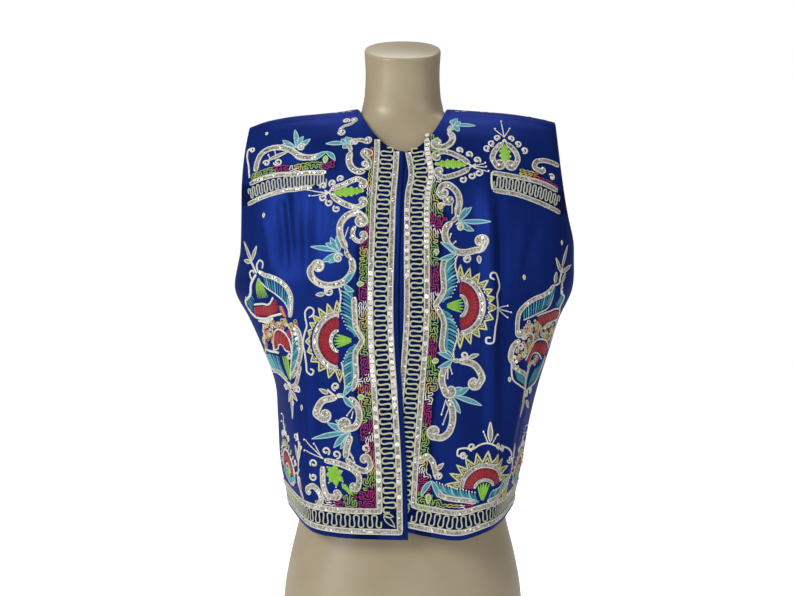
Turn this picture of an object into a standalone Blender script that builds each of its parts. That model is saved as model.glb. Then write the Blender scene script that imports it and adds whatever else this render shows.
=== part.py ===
"""An embroidered satin vest, worn hollow over a smooth limbless dress form.

Metres, +Z up. The wearer's front faces -Y, and the form's base stands on z = 0 with its middle at
the origin. Each garment panel is a sheet laid on one worn surface. A place on that surface is given
by across, the length of cloth from the centre line towards +X, and by down, the length of cloth
below the shoulder seam. Trim lies on its panel's own facets, moved out.
"""
import bpy
import numpy as np

# ---------------------------------------------------------------- driving sizes
SHOULDER_HEIGHT = 0.760
NECK_HALF_WIDTH = 0.064
FRONT_NECK_LENGTH = 0.118
BACK_NECK_LENGTH = 0.064
FRONT_NECK_ROUNDNESS = 1.85
BACK_NECK_ROUNDNESS = 2.5
CLOTH = 0.0016
TRIM = 0.0010
TRIM_GAP = 0.0006
SHOULDER_GAP = 0.0005
SIDE_GAP = 0.0004
UNDERLAP_SINK = 0.0042
UNDERLAP_FADE = (0.008, 0.080)
HEM_SIDE_RISE = 0.015
SLOPE_FADE = 0.45

# Border of each front, measured from its edge and from the hem.
OUTER_BAND = (0.0065, 0.0145)
INNER_BAND = (0.0330, 0.0410)
HEM_LOWER_BAND = (0.0060, 0.0145)
HEM_UPPER_BAND = (0.0330, 0.0415)
HEM_END_ROOM = 0.0010
BORDER_TOP_ROOM = 0.0015
BORDER_STEPS = 38
CORNER_ROOM = 0.004
NEAR_HEM = np.array([0.6])

# Rows and columns of each panel's grid. A front is finer near its opening edge.
PANEL_ROWS = 31
TOP_ROW_SHARE = 0.35
BACK_COLUMNS = 27
FRONT_COLUMNS = np.concatenate((np.linspace(0, 0.28, 6), np.linspace(0.28, 1, 12)[1:]))

# drop below the shoulder seam, depth of the front, depth of the back
PROFILE = np.array((
    (0.000, 0.000, 0.000),
    (0.004, 0.022, 0.022),
    (0.016, 0.044, 0.044),
    (0.038, 0.066, 0.064),
    (0.075, 0.088, 0.083),
    (0.120, 0.105, 0.097),
    (0.170, 0.116, 0.105),
    (0.230, 0.123, 0.109),
    (0.300, 0.127, 0.109),
    (0.400, 0.129, 0.108),
    (0.500, 0.130, 0.112),
    (0.620, 0.131, 0.118),
))

# drop, half width at -X and at +X, how far back the side seam lies, then for the front and for the
# back how far out the corner lies as a share of the half width, and how square that corner is
SECTION = np.array((
    (0.000, 0.232, 0.232, 0.000, 0.90, 1.0, 0.90, 1.0),
    (0.060, 0.240, 0.240, 0.000, 0.92, 1.1, 0.92, 1.1),
    (0.150, 0.240, 0.245, 0.000, 0.93, 1.2, 0.93, 1.2),
    (0.205, 0.236, 0.247, 0.002, 0.93, 1.2, 0.95, 1.2),
    (0.260, 0.241, 0.244, 0.005, 0.92, 1.3, 0.97, 1.2),
    (0.300, 0.222, 0.227, 0.010, 0.91, 1.5, 0.98, 1.3),
    (0.350, 0.202, 0.213, 0.018, 0.89, 1.8, 0.99, 1.4),
    (0.400, 0.186, 0.199, 0.026, 0.86, 2.2, 1.00, 1.5),
    (0.450, 0.183, 0.188, 0.034, 0.82, 2.8, 1.02, 1.6),
    (0.520, 0.180, 0.177, 0.042, 0.77, 3.6, 1.04, 1.6),
    (0.580, 0.170, 0.166, 0.046, 0.74, 4.5, 1.05, 1.6),
    (0.620, 0.166, 0.162, 0.048, 0.73, 4.5, 1.05, 1.6),
))

# distance from the centre, fall of the shoulder seam at -X and at +X
SHOULDER_SLOPE = np.array((
    (0.000, 0.0000, 0.0000),
    (0.064, 0.0000, 0.0000),
    (0.090, 0.0040, 0.0020),
    (0.120, 0.0070, 0.0040),
    (0.166, 0.0120, 0.0085),
    (0.200, 0.0195, 0.0145),
    (0.219, 0.0265, 0.0190),
    (0.250, 0.0360, 0.0270),
))

# drop, distance of the armhole edge from the centre at -X and at +X
ARMHOLE = np.array((
    (0.000, 0.2190, 0.2188),
    (0.058, 0.2246, 0.2210),
    (0.095, 0.2264, 0.2240),
    (0.149, 0.2264, 0.2325),
    (0.184, 0.2280, 0.2430),
    (0.206, 0.2300, 0.2500),
    (0.226, 0.2400, 0.2500),
))
UNDERARM_DROP = {-1: 0.226, 1: 0.208}
UNDERARM_ROUND = 0.050

# drop, place across of the edge of the wearer's right front and of the left front under it
FRONT_EDGE = np.array((
    (0.070, 0.0020, -0.0035),
    (0.105, 0.0000, 0.0010),
    (0.130, -0.0020, -0.0035),
    (0.183, -0.0040, -0.0050),
    (0.310, -0.0060, -0.0060),
    (0.404, -0.0006, -0.0130),
    (0.506, 0.0050, -0.0210),
    (0.592, 0.0067, -0.0250),
))

# distance from the centre, length added at the hem of the right front and of the left front
FRONT_HEM = np.array((
    (0.000, 0.000, -0.011),
    (0.040, 0.000, -0.002),
    (0.075, 0.001, 0.004),
    (0.110, 0.001, -0.001),
    (0.200, 0.000, 0.000),
    (0.330, 0.000, 0.000),
))
HEM_DROP = 0.591

# face, across at the top and at the bottom, down at the top and at the bottom, half width, rise
CREASES = (
    ("front", -0.150, -0.146, 0.100, 0.300, 0.016, -0.0050),
    ("front", -0.118, -0.112, 0.120, 0.290, 0.012, -0.0035),
    ("front", -0.123, -0.125, 0.340, 0.560, 0.014, 0.0045),
    ("front", 0.114, 0.118, 0.110, 0.620, 0.013, 0.0050),
    ("front", 0.092, 0.098, 0.150, 0.380, 0.015, -0.0045),
    ("front", -0.215, -0.185, 0.300, 0.420, 0.014, -0.0055),
    ("front", 0.205, 0.190, 0.330, 0.470, 0.015, -0.0050),
    ("back", -0.120, -0.105, 0.130, 0.500, 0.020, -0.0060),
    ("back", 0.095, 0.110, 0.110, 0.420, 0.018, -0.0055),
    ("back", -0.035, -0.020, 0.280, 0.640, 0.022, 0.0060),
    ("back", 0.040, 0.050, 0.330, 0.640, 0.020, -0.0055),
    ("back", 0.170, 0.160, 0.250, 0.600, 0.018, 0.0050),
    ("back", -0.190, -0.175, 0.330, 0.620, 0.018, 0.0050),
)

# height, half width, depth of the front, depth of the back, how far forward the middle leans,
# and how much the ring tips forward
FORM = np.array((
    (0.000, 0.160, 0.101, 0.096, 0.000, 0.00),
    (0.008, 0.166, 0.107, 0.102, 0.000, 0.00),
    (0.070, 0.169, 0.110, 0.105, 0.000, 0.00),
    (0.120, 0.161, 0.108, 0.103, 0.000, 0.00),
    (0.170, 0.149, 0.104, 0.098, 0.000, 0.00),
    (0.230, 0.137, 0.098, 0.090, 0.000, 0.00),
    (0.300, 0.124, 0.092, 0.080, 0.000, 0.00),
    (0.360, 0.121, 0.092, 0.077, 0.000, 0.00),
    (0.430, 0.132, 0.102, 0.085, 0.000, 0.00),
    (0.500, 0.146, 0.112, 0.093, 0.000, 0.00),
    (0.560, 0.150, 0.105, 0.094, 0.000, 0.00),
    (0.620, 0.158, 0.090, 0.088, 0.000, 0.00),
    (0.670, 0.166, 0.076, 0.076, 0.000, 0.00),
    (0.700, 0.163, 0.066, 0.065, 0.000, 0.00),
    (0.722, 0.140, 0.056, 0.054, 0.000, 0.00),
    (0.738, 0.094, 0.050, 0.0440, 0.000, 0.00),
    (0.750, 0.0605, 0.049, 0.0430, 0.001, 0.03),
    (0.766, 0.0555, 0.050, 0.0450, 0.004, 0.10),
    (0.790, 0.0535, 0.051, 0.049, 0.010, 0.22),
    (0.820, 0.0535, 0.052, 0.051, 0.016, 0.34),
    (0.838, 0.0545, 0.053, 0.052, 0.020, 0.44),
    (0.841, 0.0535, 0.052, 0.051, 0.0207, 0.45),
    (0.8425, 0.0510, 0.0495, 0.0485, 0.021, 0.46),
))
FORM_ROUNDNESS = 2.15
FORM_SIDES = 32
FORM_EXTRA_RINGS = np.linspace(0.04, 0.70, 9)

# Raised braid on the fronts: name, front (-1 the wearer's right, 1 the left), width in mm, and
# places in mm as distance out from the centre line and length down from the shoulder seam.
BRAIDS = (
    ("chest_band_upper_right", -1, 6, ((104, 147), (150, 145), (190, 147), (221, 152))),
    ("chest_band_lower_right", -1, 5, ((124, 168), (150, 169), (190, 176), (226, 184))),
    ("neck_scroll_right", -1, 6, ((71, 119), (73, 127), (72, 138), (67, 146), (59, 150), (51, 148))),
    ("drop_upper_right", -1, 5, ((97, 174), (90, 171), (80, 168), (69, 163), (61, 161), (54, 164))),
    ("drop_lower_right", -1, 5, ((97, 181), (91, 187), (81, 194), (71, 199), (61, 201), (54, 198))),
    ("scroll_right", -1, 6, ((54, 214), (61, 209), (70, 210), (78, 215), (84, 225), (84, 237), (76, 257))),
    ("hook_right", -1, 6, ((69, 270), (67, 284), (72, 295), (80, 302), (92, 306), (105, 306), (116, 301),
                           (123, 293), (124, 285), (119, 278))),
    ("sun_frame_right", -1, 5, ((65, 322), (64, 346), (62, 364), (57, 373), (54, 379), (57, 386),
                                (62, 394), (63, 408), (62, 423), (64, 438), (69, 447))),
    ("lower_hook_right", -1, 6, ((88, 456), (95, 458), (107, 462), (113, 471), (115, 480), (109, 485))),
    ("lower_scroll_right", -1, 6, ((72, 457), (66, 461), (59, 472), (58, 484), (64, 495), (73, 498))),
    ("stem_right", -1, 6, ((69, 507), (73, 518), (76, 537))),
    ("leaf_frame_inner_right", -1, 5, ((105, 542), (94, 543), (78, 547), (65, 553), (58, 562), (59, 573))),
    ("leaf_frame_outer_right", -1, 5, ((107, 550), (107, 562), (105, 580), (100, 589), (91, 591))),
    ("side_frame_upper_right", -1, 5, ((206, 285), (196, 290), (181, 294), (168, 300), (158, 309),
                                       (152, 321), (152, 335), (154, 350))),
    ("side_frame_lower_right", -1, 5, ((149, 360), (141, 371), (138, 383), (139, 403), (147, 421),
                                       (156, 433))),
    ("side_foot_right", -1, 4, ((256, 431), (228, 429), (206, 428), (184, 430), (168, 439))),
    ("chest_band_upper_left", 1, 6, ((121, 149), (157, 153), (195, 158), (224, 166))),
    ("chest_band_lower_left", 1, 5, ((121, 175), (150, 178), (190, 188), (229, 199))),
    ("neck_scroll_left", 1, 6, ((63, 85), (68, 92), (68, 99), (63, 107), (56, 111), (49, 111))),
    ("drop_upper_left", 1, 5, ((90, 137), (84, 131), (74, 125), (63, 120), (53, 119), (46, 122))),
    ("drop_lower_left", 1, 5, ((90, 144), (84, 148), (74, 153), (63, 157), (54, 158), (48, 154))),
    ("scroll_left", 1, 6, ((50, 177), (53, 171), (60, 169), (68, 174), (74, 182), (76, 193), (72, 209))),
    ("hook_left", 1, 6, ((65, 222), (58, 229), (56, 239), (59, 249), (66, 258), (75, 262), (84, 262),
                         (96, 259), (105, 257), (109, 250))),
    ("sun_frame_left", 1, 5, ((61, 269), (55, 275), (53, 284), (54, 300), (54, 314), (49, 324),
                              (44, 333), (49, 342), (54, 354), (53, 373), (52, 390), (57, 400))),
    ("lower_hook_left", 1, 6, ((74, 407), (86, 409), (95, 413), (102, 422), (105, 431), (101, 439))),
    ("lower_scroll_left", 1, 6, ((62, 410), (56, 416), (52, 426), (52, 436), (56, 448))),
    ("stem_left", 1, 6, ((59, 459), (64, 467), (66, 478), (65, 491), (60, 503), (51, 509), (42, 508))),
    ("arch_drop_inner_left", 1, 5, ((138, 99), (131, 107), (125, 117), (123, 127), (127, 136))),
    ("arch_drop_outer_left", 1, 5, ((144, 99), (151, 106), (157, 115), (159, 125), (154, 136))),
    ("hem_sun_base_left", 1, 5, ((44, 577), (51, 586), (65, 591), (82, 594), (97, 598))),
    ("side_frame_upper_left", 1, 5, ((216, 305), (210, 312), (198, 319), (181, 325), (167, 334),
                                     (159, 343), (156, 356), (156, 370))),
    ("side_frame_lower_left", 1, 5, ((160, 381), (150, 390), (147, 401), (148, 412))),
    ("side_stem_left", 1, 4, ((200, 414), (188, 420), (182, 432), (181, 456), (177, 470))),
)

# Half-round braid of the sun motifs: name, front, width, centre out and down, radii out and down,
# and the turn from and to in degrees, where 0 points away from the centre line and 90 points down.
SUN_ARCS = (
    ("sun_arc_right", -1, 6, (85, 381), (32, 37), (-88, 88)),
    ("sun_heart_right", -1, 4, (84, 381), (11, 14), (-80, 80)),
    ("sun_arc_left", 1, 6, (75, 334), (32, 37), (-88, 88)),
    ("sun_heart_left", 1, 4, (73, 334), (10, 14), (-80, 80)),
    ("hem_sun_arc_left", 1, 5, (108, 580), (31, 31), (-178, -8)),
    ("hem_sun_heart_left", 1, 4, (108, 582), (13, 11), (-170, -10)),
)
ARC_PLACES = 9
BRAID_STEP = 0.0070
BRAID_GAP = 0.0010
BRAID_END = 0.6
BRAID_TAPER = 0.18

SATIN = (0.010, 0.026, 0.190)
SILVER = (0.560, 0.540, 0.480)
FORM_SKIN = (0.560, 0.480, 0.340)


# ---------------------------------------------------------------- the worn surface
def read(table, column, at):
    """A table's column at the given places, with a smooth cubic between its rows."""
    knots = table[:, 0]
    values = table[:, column]
    slopes = np.gradient(values, knots)
    at = np.clip(at, knots[0], knots[-1])
    row = np.clip(np.searchsorted(knots, at) - 1, 0, len(knots) - 2)
    span = knots[row + 1] - knots[row]
    t = (at - knots[row]) / span
    start = (1 + 2 * t) * (1 - t) ** 2 * values[row] + t * (1 - t) ** 2 * span * slopes[row]
    return start + t * t * (3 - 2 * t) * values[row + 1] + t * t * (t - 1) * span * slopes[row + 1]


def profile_by_length(column):
    """The centre profile as rows of cloth length, drop and depth."""
    fine = np.linspace(0, 1, 400) ** 2 * PROFILE[-1, 0]
    depth = read(PROFILE, column, fine)
    first = np.linspace(0, PROFILE[1, column], 12)[:-1]
    head = np.stack((PROFILE[1, 0] * (first / PROFILE[1, column]) ** 2, first), axis=1)
    body = np.stack((fine, depth), axis=1)[fine >= PROFILE[1, 0]]
    line = np.concatenate((head, body))
    length = np.concatenate(([0], np.cumsum(np.linalg.norm(np.diff(line, axis=0), axis=1))))
    return np.column_stack((length, line))


def conic(start, corner, end, weight, t):
    """A rational curve from start to end that leaves and arrives along the corner's two sides."""
    near = (1 - t) ** 2
    middle = 2 * weight * t * (1 - t)
    far = t * t
    return (near * start + middle * corner + far * end) / (near + middle + far)


class Face:
    """The front or the back of the worn surface, as a fine table over across and down."""

    step = 0.002
    reach = 0.360

    def __init__(self, name, front):
        self.name = name
        self.front = front
        self.profile = profile_by_length(1 if front else 2)
        self.downs = np.arange(0, self.profile[-1, 0], self.step)
        self.acrosses = np.arange(-self.reach, self.reach + self.step / 2, self.step)
        drop = np.interp(self.downs, self.profile[:, 0], self.profile[:, 1])
        depth = np.interp(self.downs, self.profile[:, 0], self.profile[:, 2])
        self.drops = drop
        self.side = {}
        halves = {sign: self.half_sections(sign, drop, depth) for sign in (-1, 1)}
        count = len(self.acrosses) // 2
        self.grid = np.concatenate((halves[-1][:, :0:-1], halves[1]), axis=1)[:, :2 * count + 1]

    def half_sections(self, sign, drop, depth):
        """Points along each section from the centre line to the side seam and straight on past it."""
        half = read(SECTION, 1 if sign < 0 else 2, drop)
        seam = read(SECTION, 3, drop)
        share = read(SECTION, 4 if self.front else 6, drop)
        weight = read(SECTION, 5 if self.front else 7, drop)
        facing = -1 if self.front else 1
        flat = facing * depth
        seam = np.minimum(seam, 0.4 * depth)
        t = np.linspace(0, 1, 160)[None, :]
        x = conic(0 * half[:, None], (share * half)[:, None], half[:, None], weight[:, None], t)
        y = conic(flat[:, None], flat[:, None], seam[:, None], weight[:, None], t)
        length = np.concatenate((0 * half[:, None],
                                 np.cumsum(np.hypot(np.diff(x), np.diff(y)), axis=1)), axis=1)
        self.side[sign] = length[:, -1]
        wanted = self.acrosses[self.acrosses >= -self.step / 2]
        rows = []
        for row in range(len(drop)):
            past = np.maximum(wanted - length[row, -1], 0)
            run = np.array((x[row, -1] - x[row, -3], y[row, -1] - y[row, -3]))
            run /= np.linalg.norm(run)
            px = np.interp(wanted, length[row], x[row]) + past * run[0]
            py = np.interp(wanted, length[row], y[row]) + past * run[1]
            rise = read(SHOULDER_SLOPE, 1 if sign < 0 else 2, px)
            fade = np.clip(1 - self.downs[row] / SLOPE_FADE, 0, 1) ** 2
            lift = HEM_SIDE_RISE * (px / half[row]) ** 2 * (drop[row] / HEM_DROP) ** 3
            rows.append(np.column_stack((sign * px, py, SHOULDER_HEIGHT - drop[row] - rise * fade + lift)))
        return np.array(rows)

    def smooth_points(self, across, down):
        """Points of the fine table, read between its rows and columns."""
        i = np.clip(down / self.step, 0, len(self.downs) - 1.001)
        j = np.clip((across + self.reach) / self.step, 0, len(self.acrosses) - 1.001)
        return bilinear(self.grid, i, j)

    def drop_at(self, down):
        return np.interp(down, self.downs, self.drops)

    def down_at(self, drop):
        return np.interp(drop, self.drops, self.downs)

    def side_at(self, sign, down):
        return np.interp(down, self.downs, self.side[sign])

    def armhole_at(self, sign, down):
        """Length across to the armhole edge, which turns out to the side seam at the underarm."""
        drop = self.drop_at(down)
        edge_x = read(ARMHOLE, 1 if sign < 0 else 2, drop)
        low = np.zeros_like(down)
        high = self.side_at(sign, down)
        side = high.copy()
        for _ in range(24):
            middle = (low + high) / 2
            inside = np.abs(self.smooth_points(sign * middle, down)[..., 0]) < edge_x
            low = np.where(inside, middle, low)
            high = np.where(inside, high, middle)
        above = np.clip((UNDERARM_DROP[sign] - drop) / UNDERARM_ROUND, 0, 1)
        turn = np.sqrt(1 - (1 - above) ** 2)
        return np.where(drop >= UNDERARM_DROP[sign], side, side + (low - side) * turn)


def bilinear(grid, i, j):
    """Reads a grid of vectors at fractional rows and columns."""
    row = i.astype(int)
    column = j.astype(int)
    a = (i - row)[..., None]
    b = (j - column)[..., None]
    top = grid[row, column] * (1 - b) + grid[row, column + 1] * b
    bottom = grid[row + 1, column] * (1 - b) + grid[row + 1, column + 1] * b
    return top * (1 - a) + bottom * a


def smoothstep(low, high, value):
    t = np.clip((value - low) / (high - low), 0, 1)
    return t * t * (3 - 2 * t)


def crease_rise(face_name, across, down):
    """Height of the soft folds: a bell across each fold that fades in and out along it."""
    rise = np.zeros_like(across)
    for face, top, bottom, start, end, half, height in CREASES:
        if face != face_name:
            continue
        along = (down - start) / (end - start)
        middle = top + (bottom - top) * np.clip(along, 0, 1)
        fade = smoothstep(0, 0.25, along) * (1 - smoothstep(0.75, 1.0, along))
        rise += height * fade * np.exp(-((across - middle) / half) ** 2)
    return rise


# ---------------------------------------------------------------- cut panels
class Panel:
    """One cut piece: a grid between its two side edges, its top edge and its hem."""

    def __init__(self, face, left, right, top, hem, columns, rows, sink=None):
        self.face, self.left, self.right, self.top, self.hem = face, left, right, top, hem
        self.columns, self.rows, self.sink = columns, rows, sink
        share, along = np.meshgrid(columns, rows)
        down = along * hem(np.zeros_like(share))
        for _ in range(12):
            across = left(down) + (right(down) - left(down)) * share
            down = top(across) + (hem(across) - top(across)) * along
        self.across, self.down = across, down
        base = face.smooth_points(across, down)
        normal = self.normals(across, down)
        rise = crease_rise(face.name, across, down)
        if sink is not None:
            rise = rise - sink(across, down)
        self.points = base + normal * rise[..., None]
        self.outward = normal

    def normals(self, across, down):
        """Outward normals of the fine surface."""
        small = 0.003
        along = self.face.smooth_points(across + small, down) - self.face.smooth_points(across - small, down)
        below = self.face.smooth_points(across, down + small)
        above = self.face.smooth_points(across, np.maximum(down - small, 0))
        normal = np.cross(along, above - below)
        if not self.face.front:
            normal = -normal
        return normal / np.linalg.norm(normal, axis=-1, keepdims=True)

    def place(self, across, down, lift):
        """Points on the panel's own facets, moved out by lift."""
        share = (across - self.left(down)) / (self.right(down) - self.left(down))
        along = (down - self.top(across)) / (self.hem(across) - self.top(across))
        j = np.interp(share, self.columns, np.arange(len(self.columns)))
        i = np.interp(along, self.rows, np.arange(len(self.rows)))
        i = np.clip(i, 0, len(self.rows) - 1.001)
        j = np.clip(j, 0, len(self.columns) - 1.001)
        normal = bilinear(self.outward, i, j)
        normal = normal / np.linalg.norm(normal, axis=-1, keepdims=True)
        return bilinear(self.points, i, j) + normal * lift


def neckline(length, roundness):
    """Top edge of a panel: the round neck in the middle and the shoulder seam outside it."""
    def top(across):
        share = np.clip(np.abs(across) / NECK_HALF_WIDTH, 0, 1)
        return np.maximum(length * (1 - share ** roundness) ** (1 / roundness), SHOULDER_GAP)
    return top


def outer_edge(face, sign):
    """Side seam up to the underarm, then the armhole edge."""
    def edge(down):
        return sign * (face.armhole_at(sign, down) - SIDE_GAP)
    return edge


def front_edge(face, column):
    def edge(down):
        return read(FRONT_EDGE, column, face.drop_at(down))
    return edge


def front_hem(face, column):
    length = face.down_at(HEM_DROP)

    def hem(across):
        return length + read(FRONT_HEM, column, np.abs(across))
    return hem


def underlap_sink(face):
    """How far the left front is pushed in where it passes under the right one."""
    def sink(across, down):
        return UNDERLAP_SINK * (1 - smoothstep(*UNDERLAP_FADE, across))
    return sink


def sheet_mesh(name, points):
    """An open grid of quads through rows and columns of points."""
    rows, columns = points.shape[:2]
    index = np.arange(rows * columns).reshape(rows, columns)
    quads = np.stack((index[:-1, :-1], index[1:, :-1], index[1:, 1:], index[:-1, 1:]), axis=-1)
    mesh = bpy.data.meshes.new(name)
    mesh.from_pydata(points.reshape(-1, 3).tolist(), [], quads.reshape(-1, 4).tolist())
    mesh.validate()
    mesh.shade_smooth()
    return mesh


def material(name, colour, roughness, metallic=0.0):
    made = bpy.data.materials.new(name)
    made.use_nodes = True
    shader = made.node_tree.nodes["Principled BSDF"]
    shader.inputs["Base Color"].default_value = (*colour, 1)
    shader.inputs["Roughness"].default_value = roughness
    shader.inputs["Metallic"].default_value = metallic
    return made


def add_object(name, mesh, finish, collection):
    made = bpy.data.objects.new(name, mesh)
    collection.objects.link(made)
    mesh.materials.append(finish)
    return made


def add_sheet(name, points, thickness, side, finish, collection):
    """An open sheet with a wall put on it by Solidify, inwards (-1) or outwards (+1)."""
    made = add_object(name, sheet_mesh(name, points), finish, collection)
    wall = made.modifiers.new("wall", "SOLIDIFY")
    wall.thickness = thickness
    wall.offset = side
    wall.use_even_offset = False
    return made


# ---------------------------------------------------------------- dress form
def make_form(finish, collection):
    """The limbless form: closed rings from the flat base to the tipped flat top of the neck."""
    angle = np.linspace(0, 2 * np.pi, FORM_SIDES, endpoint=False)
    power = 2 / FORM_ROUNDNESS
    across = np.sign(np.sin(angle)) * np.abs(np.sin(angle)) ** power
    away = np.sign(np.cos(angle)) * np.abs(np.cos(angle)) ** power
    heights = np.unique(np.concatenate((FORM[:, 0], FORM_EXTRA_RINGS)))
    vertices = []
    for height in heights:
        half, front, back, lean, tip = (float(read(FORM, column, height)) for column in range(1, 6))
        y = np.where(away > 0, -front * away, -back * away)
        z = height + tip * y
        vertices += np.column_stack((half * across, y - lean, z)).tolist()
    count = len(heights)
    ring = np.arange(count * FORM_SIDES).reshape(count, FORM_SIDES)
    after = np.roll(ring, -1, axis=1)
    faces = np.stack((ring[:-1], after[:-1], after[1:], ring[1:]), axis=-1).reshape(-1, 4).tolist()
    faces.append(ring[0, ::-1].tolist())
    faces.append(ring[-1].tolist())
    mesh = bpy.data.meshes.new("dress_form")
    mesh.from_pydata(vertices, [], faces)
    mesh.shade_smooth()
    add_object("dress_form", mesh, finish, collection)


# ---------------------------------------------------------------- trim
def border_line(panel, sign, inset, rise, turn_inset):
    """Down a front's edge at one inset, round the corner, and along its hem at one rise."""
    edge = panel.right if sign < 0 else panel.left
    corner = panel.hem(edge(NEAR_HEM) + sign * inset)[0] - rise
    start = panel.top(np.array([sign * inset]))[0] + BORDER_TOP_ROOM
    downs = np.linspace(start, corner, BORDER_STEPS)
    vertical = np.column_stack((edge(downs) + sign * inset, downs))
    turn = edge(np.array([corner]))[0] + sign * (turn_inset + CORNER_ROOM)
    hem = hem_line(panel, rise)
    return np.concatenate((vertical, hem[sign * (hem[:, 0] - turn) > 0][::sign]))


def hem_line(panel, rise):
    """Along the hem at one rise, with a point on each column of the panel, in by a little at its ends."""
    down = NEAR_HEM + 0 * panel.columns
    for _ in range(3):
        left = panel.left(down) + HEM_END_ROOM
        right = panel.right(down) - HEM_END_ROOM
        across = left + (right - left) * panel.columns
        down = panel.hem(across) - rise
    return np.column_stack((across, down))


def add_band(name, panel, near, far, finish, collection, flip=False, gap=TRIM_GAP):
    """A flat strip of braid between two lines of places on a panel."""
    points = np.stack([panel.place(line[:, 0], line[:, 1], gap) for line in (near, far)])
    add_sheet(name, points[::-1] if flip else points, TRIM, 1, finish, collection)


def add_border(name, panel, sign, insets, rises, finish, collection):
    near = border_line(panel, sign, insets[0], rises[0], insets[1])
    far = border_line(panel, sign, insets[1], rises[1], insets[1])
    add_band(name, panel, near, far, finish, collection, sign > 0)


def arc_places(centre, radii, turn):
    angle = np.radians(np.linspace(*turn, ARC_PLACES))
    return np.column_stack((centre[0] + radii[0] * np.cos(angle), centre[1] + radii[1] * np.sin(angle)))


def add_braid(name, panel, sign, width, places, finish, collection):
    """A strip of braid along a smooth line through hand-set places, narrower towards its ends."""
    places = np.array(places) / 1000
    length = np.concatenate(([0], np.cumsum(np.hypot(*np.diff(places, axis=0).T))))
    table = np.column_stack((length, sign * places[:, 0], places[:, 1]))
    at = np.linspace(0, length[-1], max(4, round(length[-1] / BRAID_STEP) + 1))
    line = np.column_stack((read(table, 1, at), read(table, 2, at)))
    along = np.gradient(line, axis=0)
    along /= np.linalg.norm(along, axis=1, keepdims=True)
    share = np.minimum(at, length[-1] - at) / length[-1]
    half = width / 2000 * (BRAID_END + (1 - BRAID_END) * smoothstep(0, BRAID_TAPER, share))
    offset = np.column_stack((-along[:, 1], along[:, 0])) * half[:, None]
    add_band(name, panel, line - offset, line + offset, finish, collection, gap=BRAID_GAP)


# ---------------------------------------------------------------- build
def clear_scene():
    for old in list(bpy.data.objects):
        bpy.data.objects.remove(old, do_unlink=True)


def panel_rows():
    """Rows from the top to the hem, closer together over the shoulder."""
    t = np.linspace(0, 1, PANEL_ROWS)
    return TOP_ROW_SHARE * t + (1 - TOP_ROW_SHARE) * t ** 1.6


def make_panels(front, back):
    rows = panel_rows()
    front_neck = neckline(FRONT_NECK_LENGTH, FRONT_NECK_ROUNDNESS)
    back_neck = neckline(BACK_NECK_LENGTH, BACK_NECK_ROUNDNESS)
    back_length = back.down_at(HEM_DROP)
    back_columns = np.linspace(0, 1, BACK_COLUMNS)
    right = Panel(front, outer_edge(front, -1), front_edge(front, 1), front_neck,
                  front_hem(front, 1), 1 - FRONT_COLUMNS[::-1], rows)
    left = Panel(front, front_edge(front, 2), outer_edge(front, 1), front_neck,
                 front_hem(front, 2), FRONT_COLUMNS, rows, underlap_sink(front))
    whole = Panel(back, outer_edge(back, -1), outer_edge(back, 1), back_neck,
                  lambda across: back_length + 0 * across, back_columns, rows)
    return {"front_right": right, "front_left": left, "back": whole}


def main():
    clear_scene()
    collection = bpy.data.collections.new("embroidered_vest")
    bpy.context.scene.collection.children.link(collection)
    satin = material("satin", SATIN, 0.38)
    front = Face("front", True)
    back = Face("back", False)
    panels = make_panels(front, back)
    for name, panel in panels.items():
        points = panel.points if panel.face.front else panel.points[:, ::-1]
        add_sheet(name, points, CLOTH, -1, satin, collection)
    make_form(material("form_skin", FORM_SKIN, 0.45), collection)
    silver = material("silver_braid", SILVER, 0.35, 0.6)
    for side, sign in (("right", -1), ("left", 1)):
        panel = panels["front_" + side]
        add_border("outer_band_" + side, panel, sign, OUTER_BAND, HEM_LOWER_BAND, silver, collection)
        add_border("inner_band_" + side, panel, sign, INNER_BAND, HEM_UPPER_BAND, silver, collection)
    for level, rises in (("lower", HEM_LOWER_BAND), ("upper", HEM_UPPER_BAND)):
        near = hem_line(panels["back"], rises[0])
        far = hem_line(panels["back"], rises[1])
        add_band("hem_band_%s_back" % level, panels["back"], near, far, silver, collection)
    fronts = {-1: panels["front_right"], 1: panels["front_left"]}
    for name, sign, width, places in BRAIDS:
        add_braid(name, fronts[sign], sign, width, places, silver, collection)
    for name, sign, width, centre, radii, turn in SUN_ARCS:
        add_braid(name, fronts[sign], sign, width, arc_places(centre, radii, turn), silver, collection)


main()
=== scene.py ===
import math
import bpy
import numpy as np
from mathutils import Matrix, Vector


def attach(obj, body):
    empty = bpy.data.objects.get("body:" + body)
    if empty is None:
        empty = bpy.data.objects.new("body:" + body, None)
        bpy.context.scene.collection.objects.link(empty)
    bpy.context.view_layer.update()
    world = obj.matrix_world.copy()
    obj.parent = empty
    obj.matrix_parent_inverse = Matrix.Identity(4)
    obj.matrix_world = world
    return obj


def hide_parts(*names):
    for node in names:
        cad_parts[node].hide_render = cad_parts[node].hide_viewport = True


# An embroidered satin vest, worn over a limbless dress form. Metres, +Z up; the front faces -Y.
# A place on a panel is across, the length of cloth from the centre line towards +X, and down, the
# length of cloth below the shoulder seam. Sewn work is listed in mm as (out, down), where out is
# the distance from the centre line on the named front.

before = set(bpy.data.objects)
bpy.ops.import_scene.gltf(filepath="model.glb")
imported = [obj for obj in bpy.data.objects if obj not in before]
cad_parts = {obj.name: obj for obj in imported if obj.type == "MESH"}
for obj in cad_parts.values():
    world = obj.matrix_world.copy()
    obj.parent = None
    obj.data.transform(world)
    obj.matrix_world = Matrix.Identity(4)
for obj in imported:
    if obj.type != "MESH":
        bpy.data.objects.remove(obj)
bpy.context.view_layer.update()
mm = 0.001

# The worn surface

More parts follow.
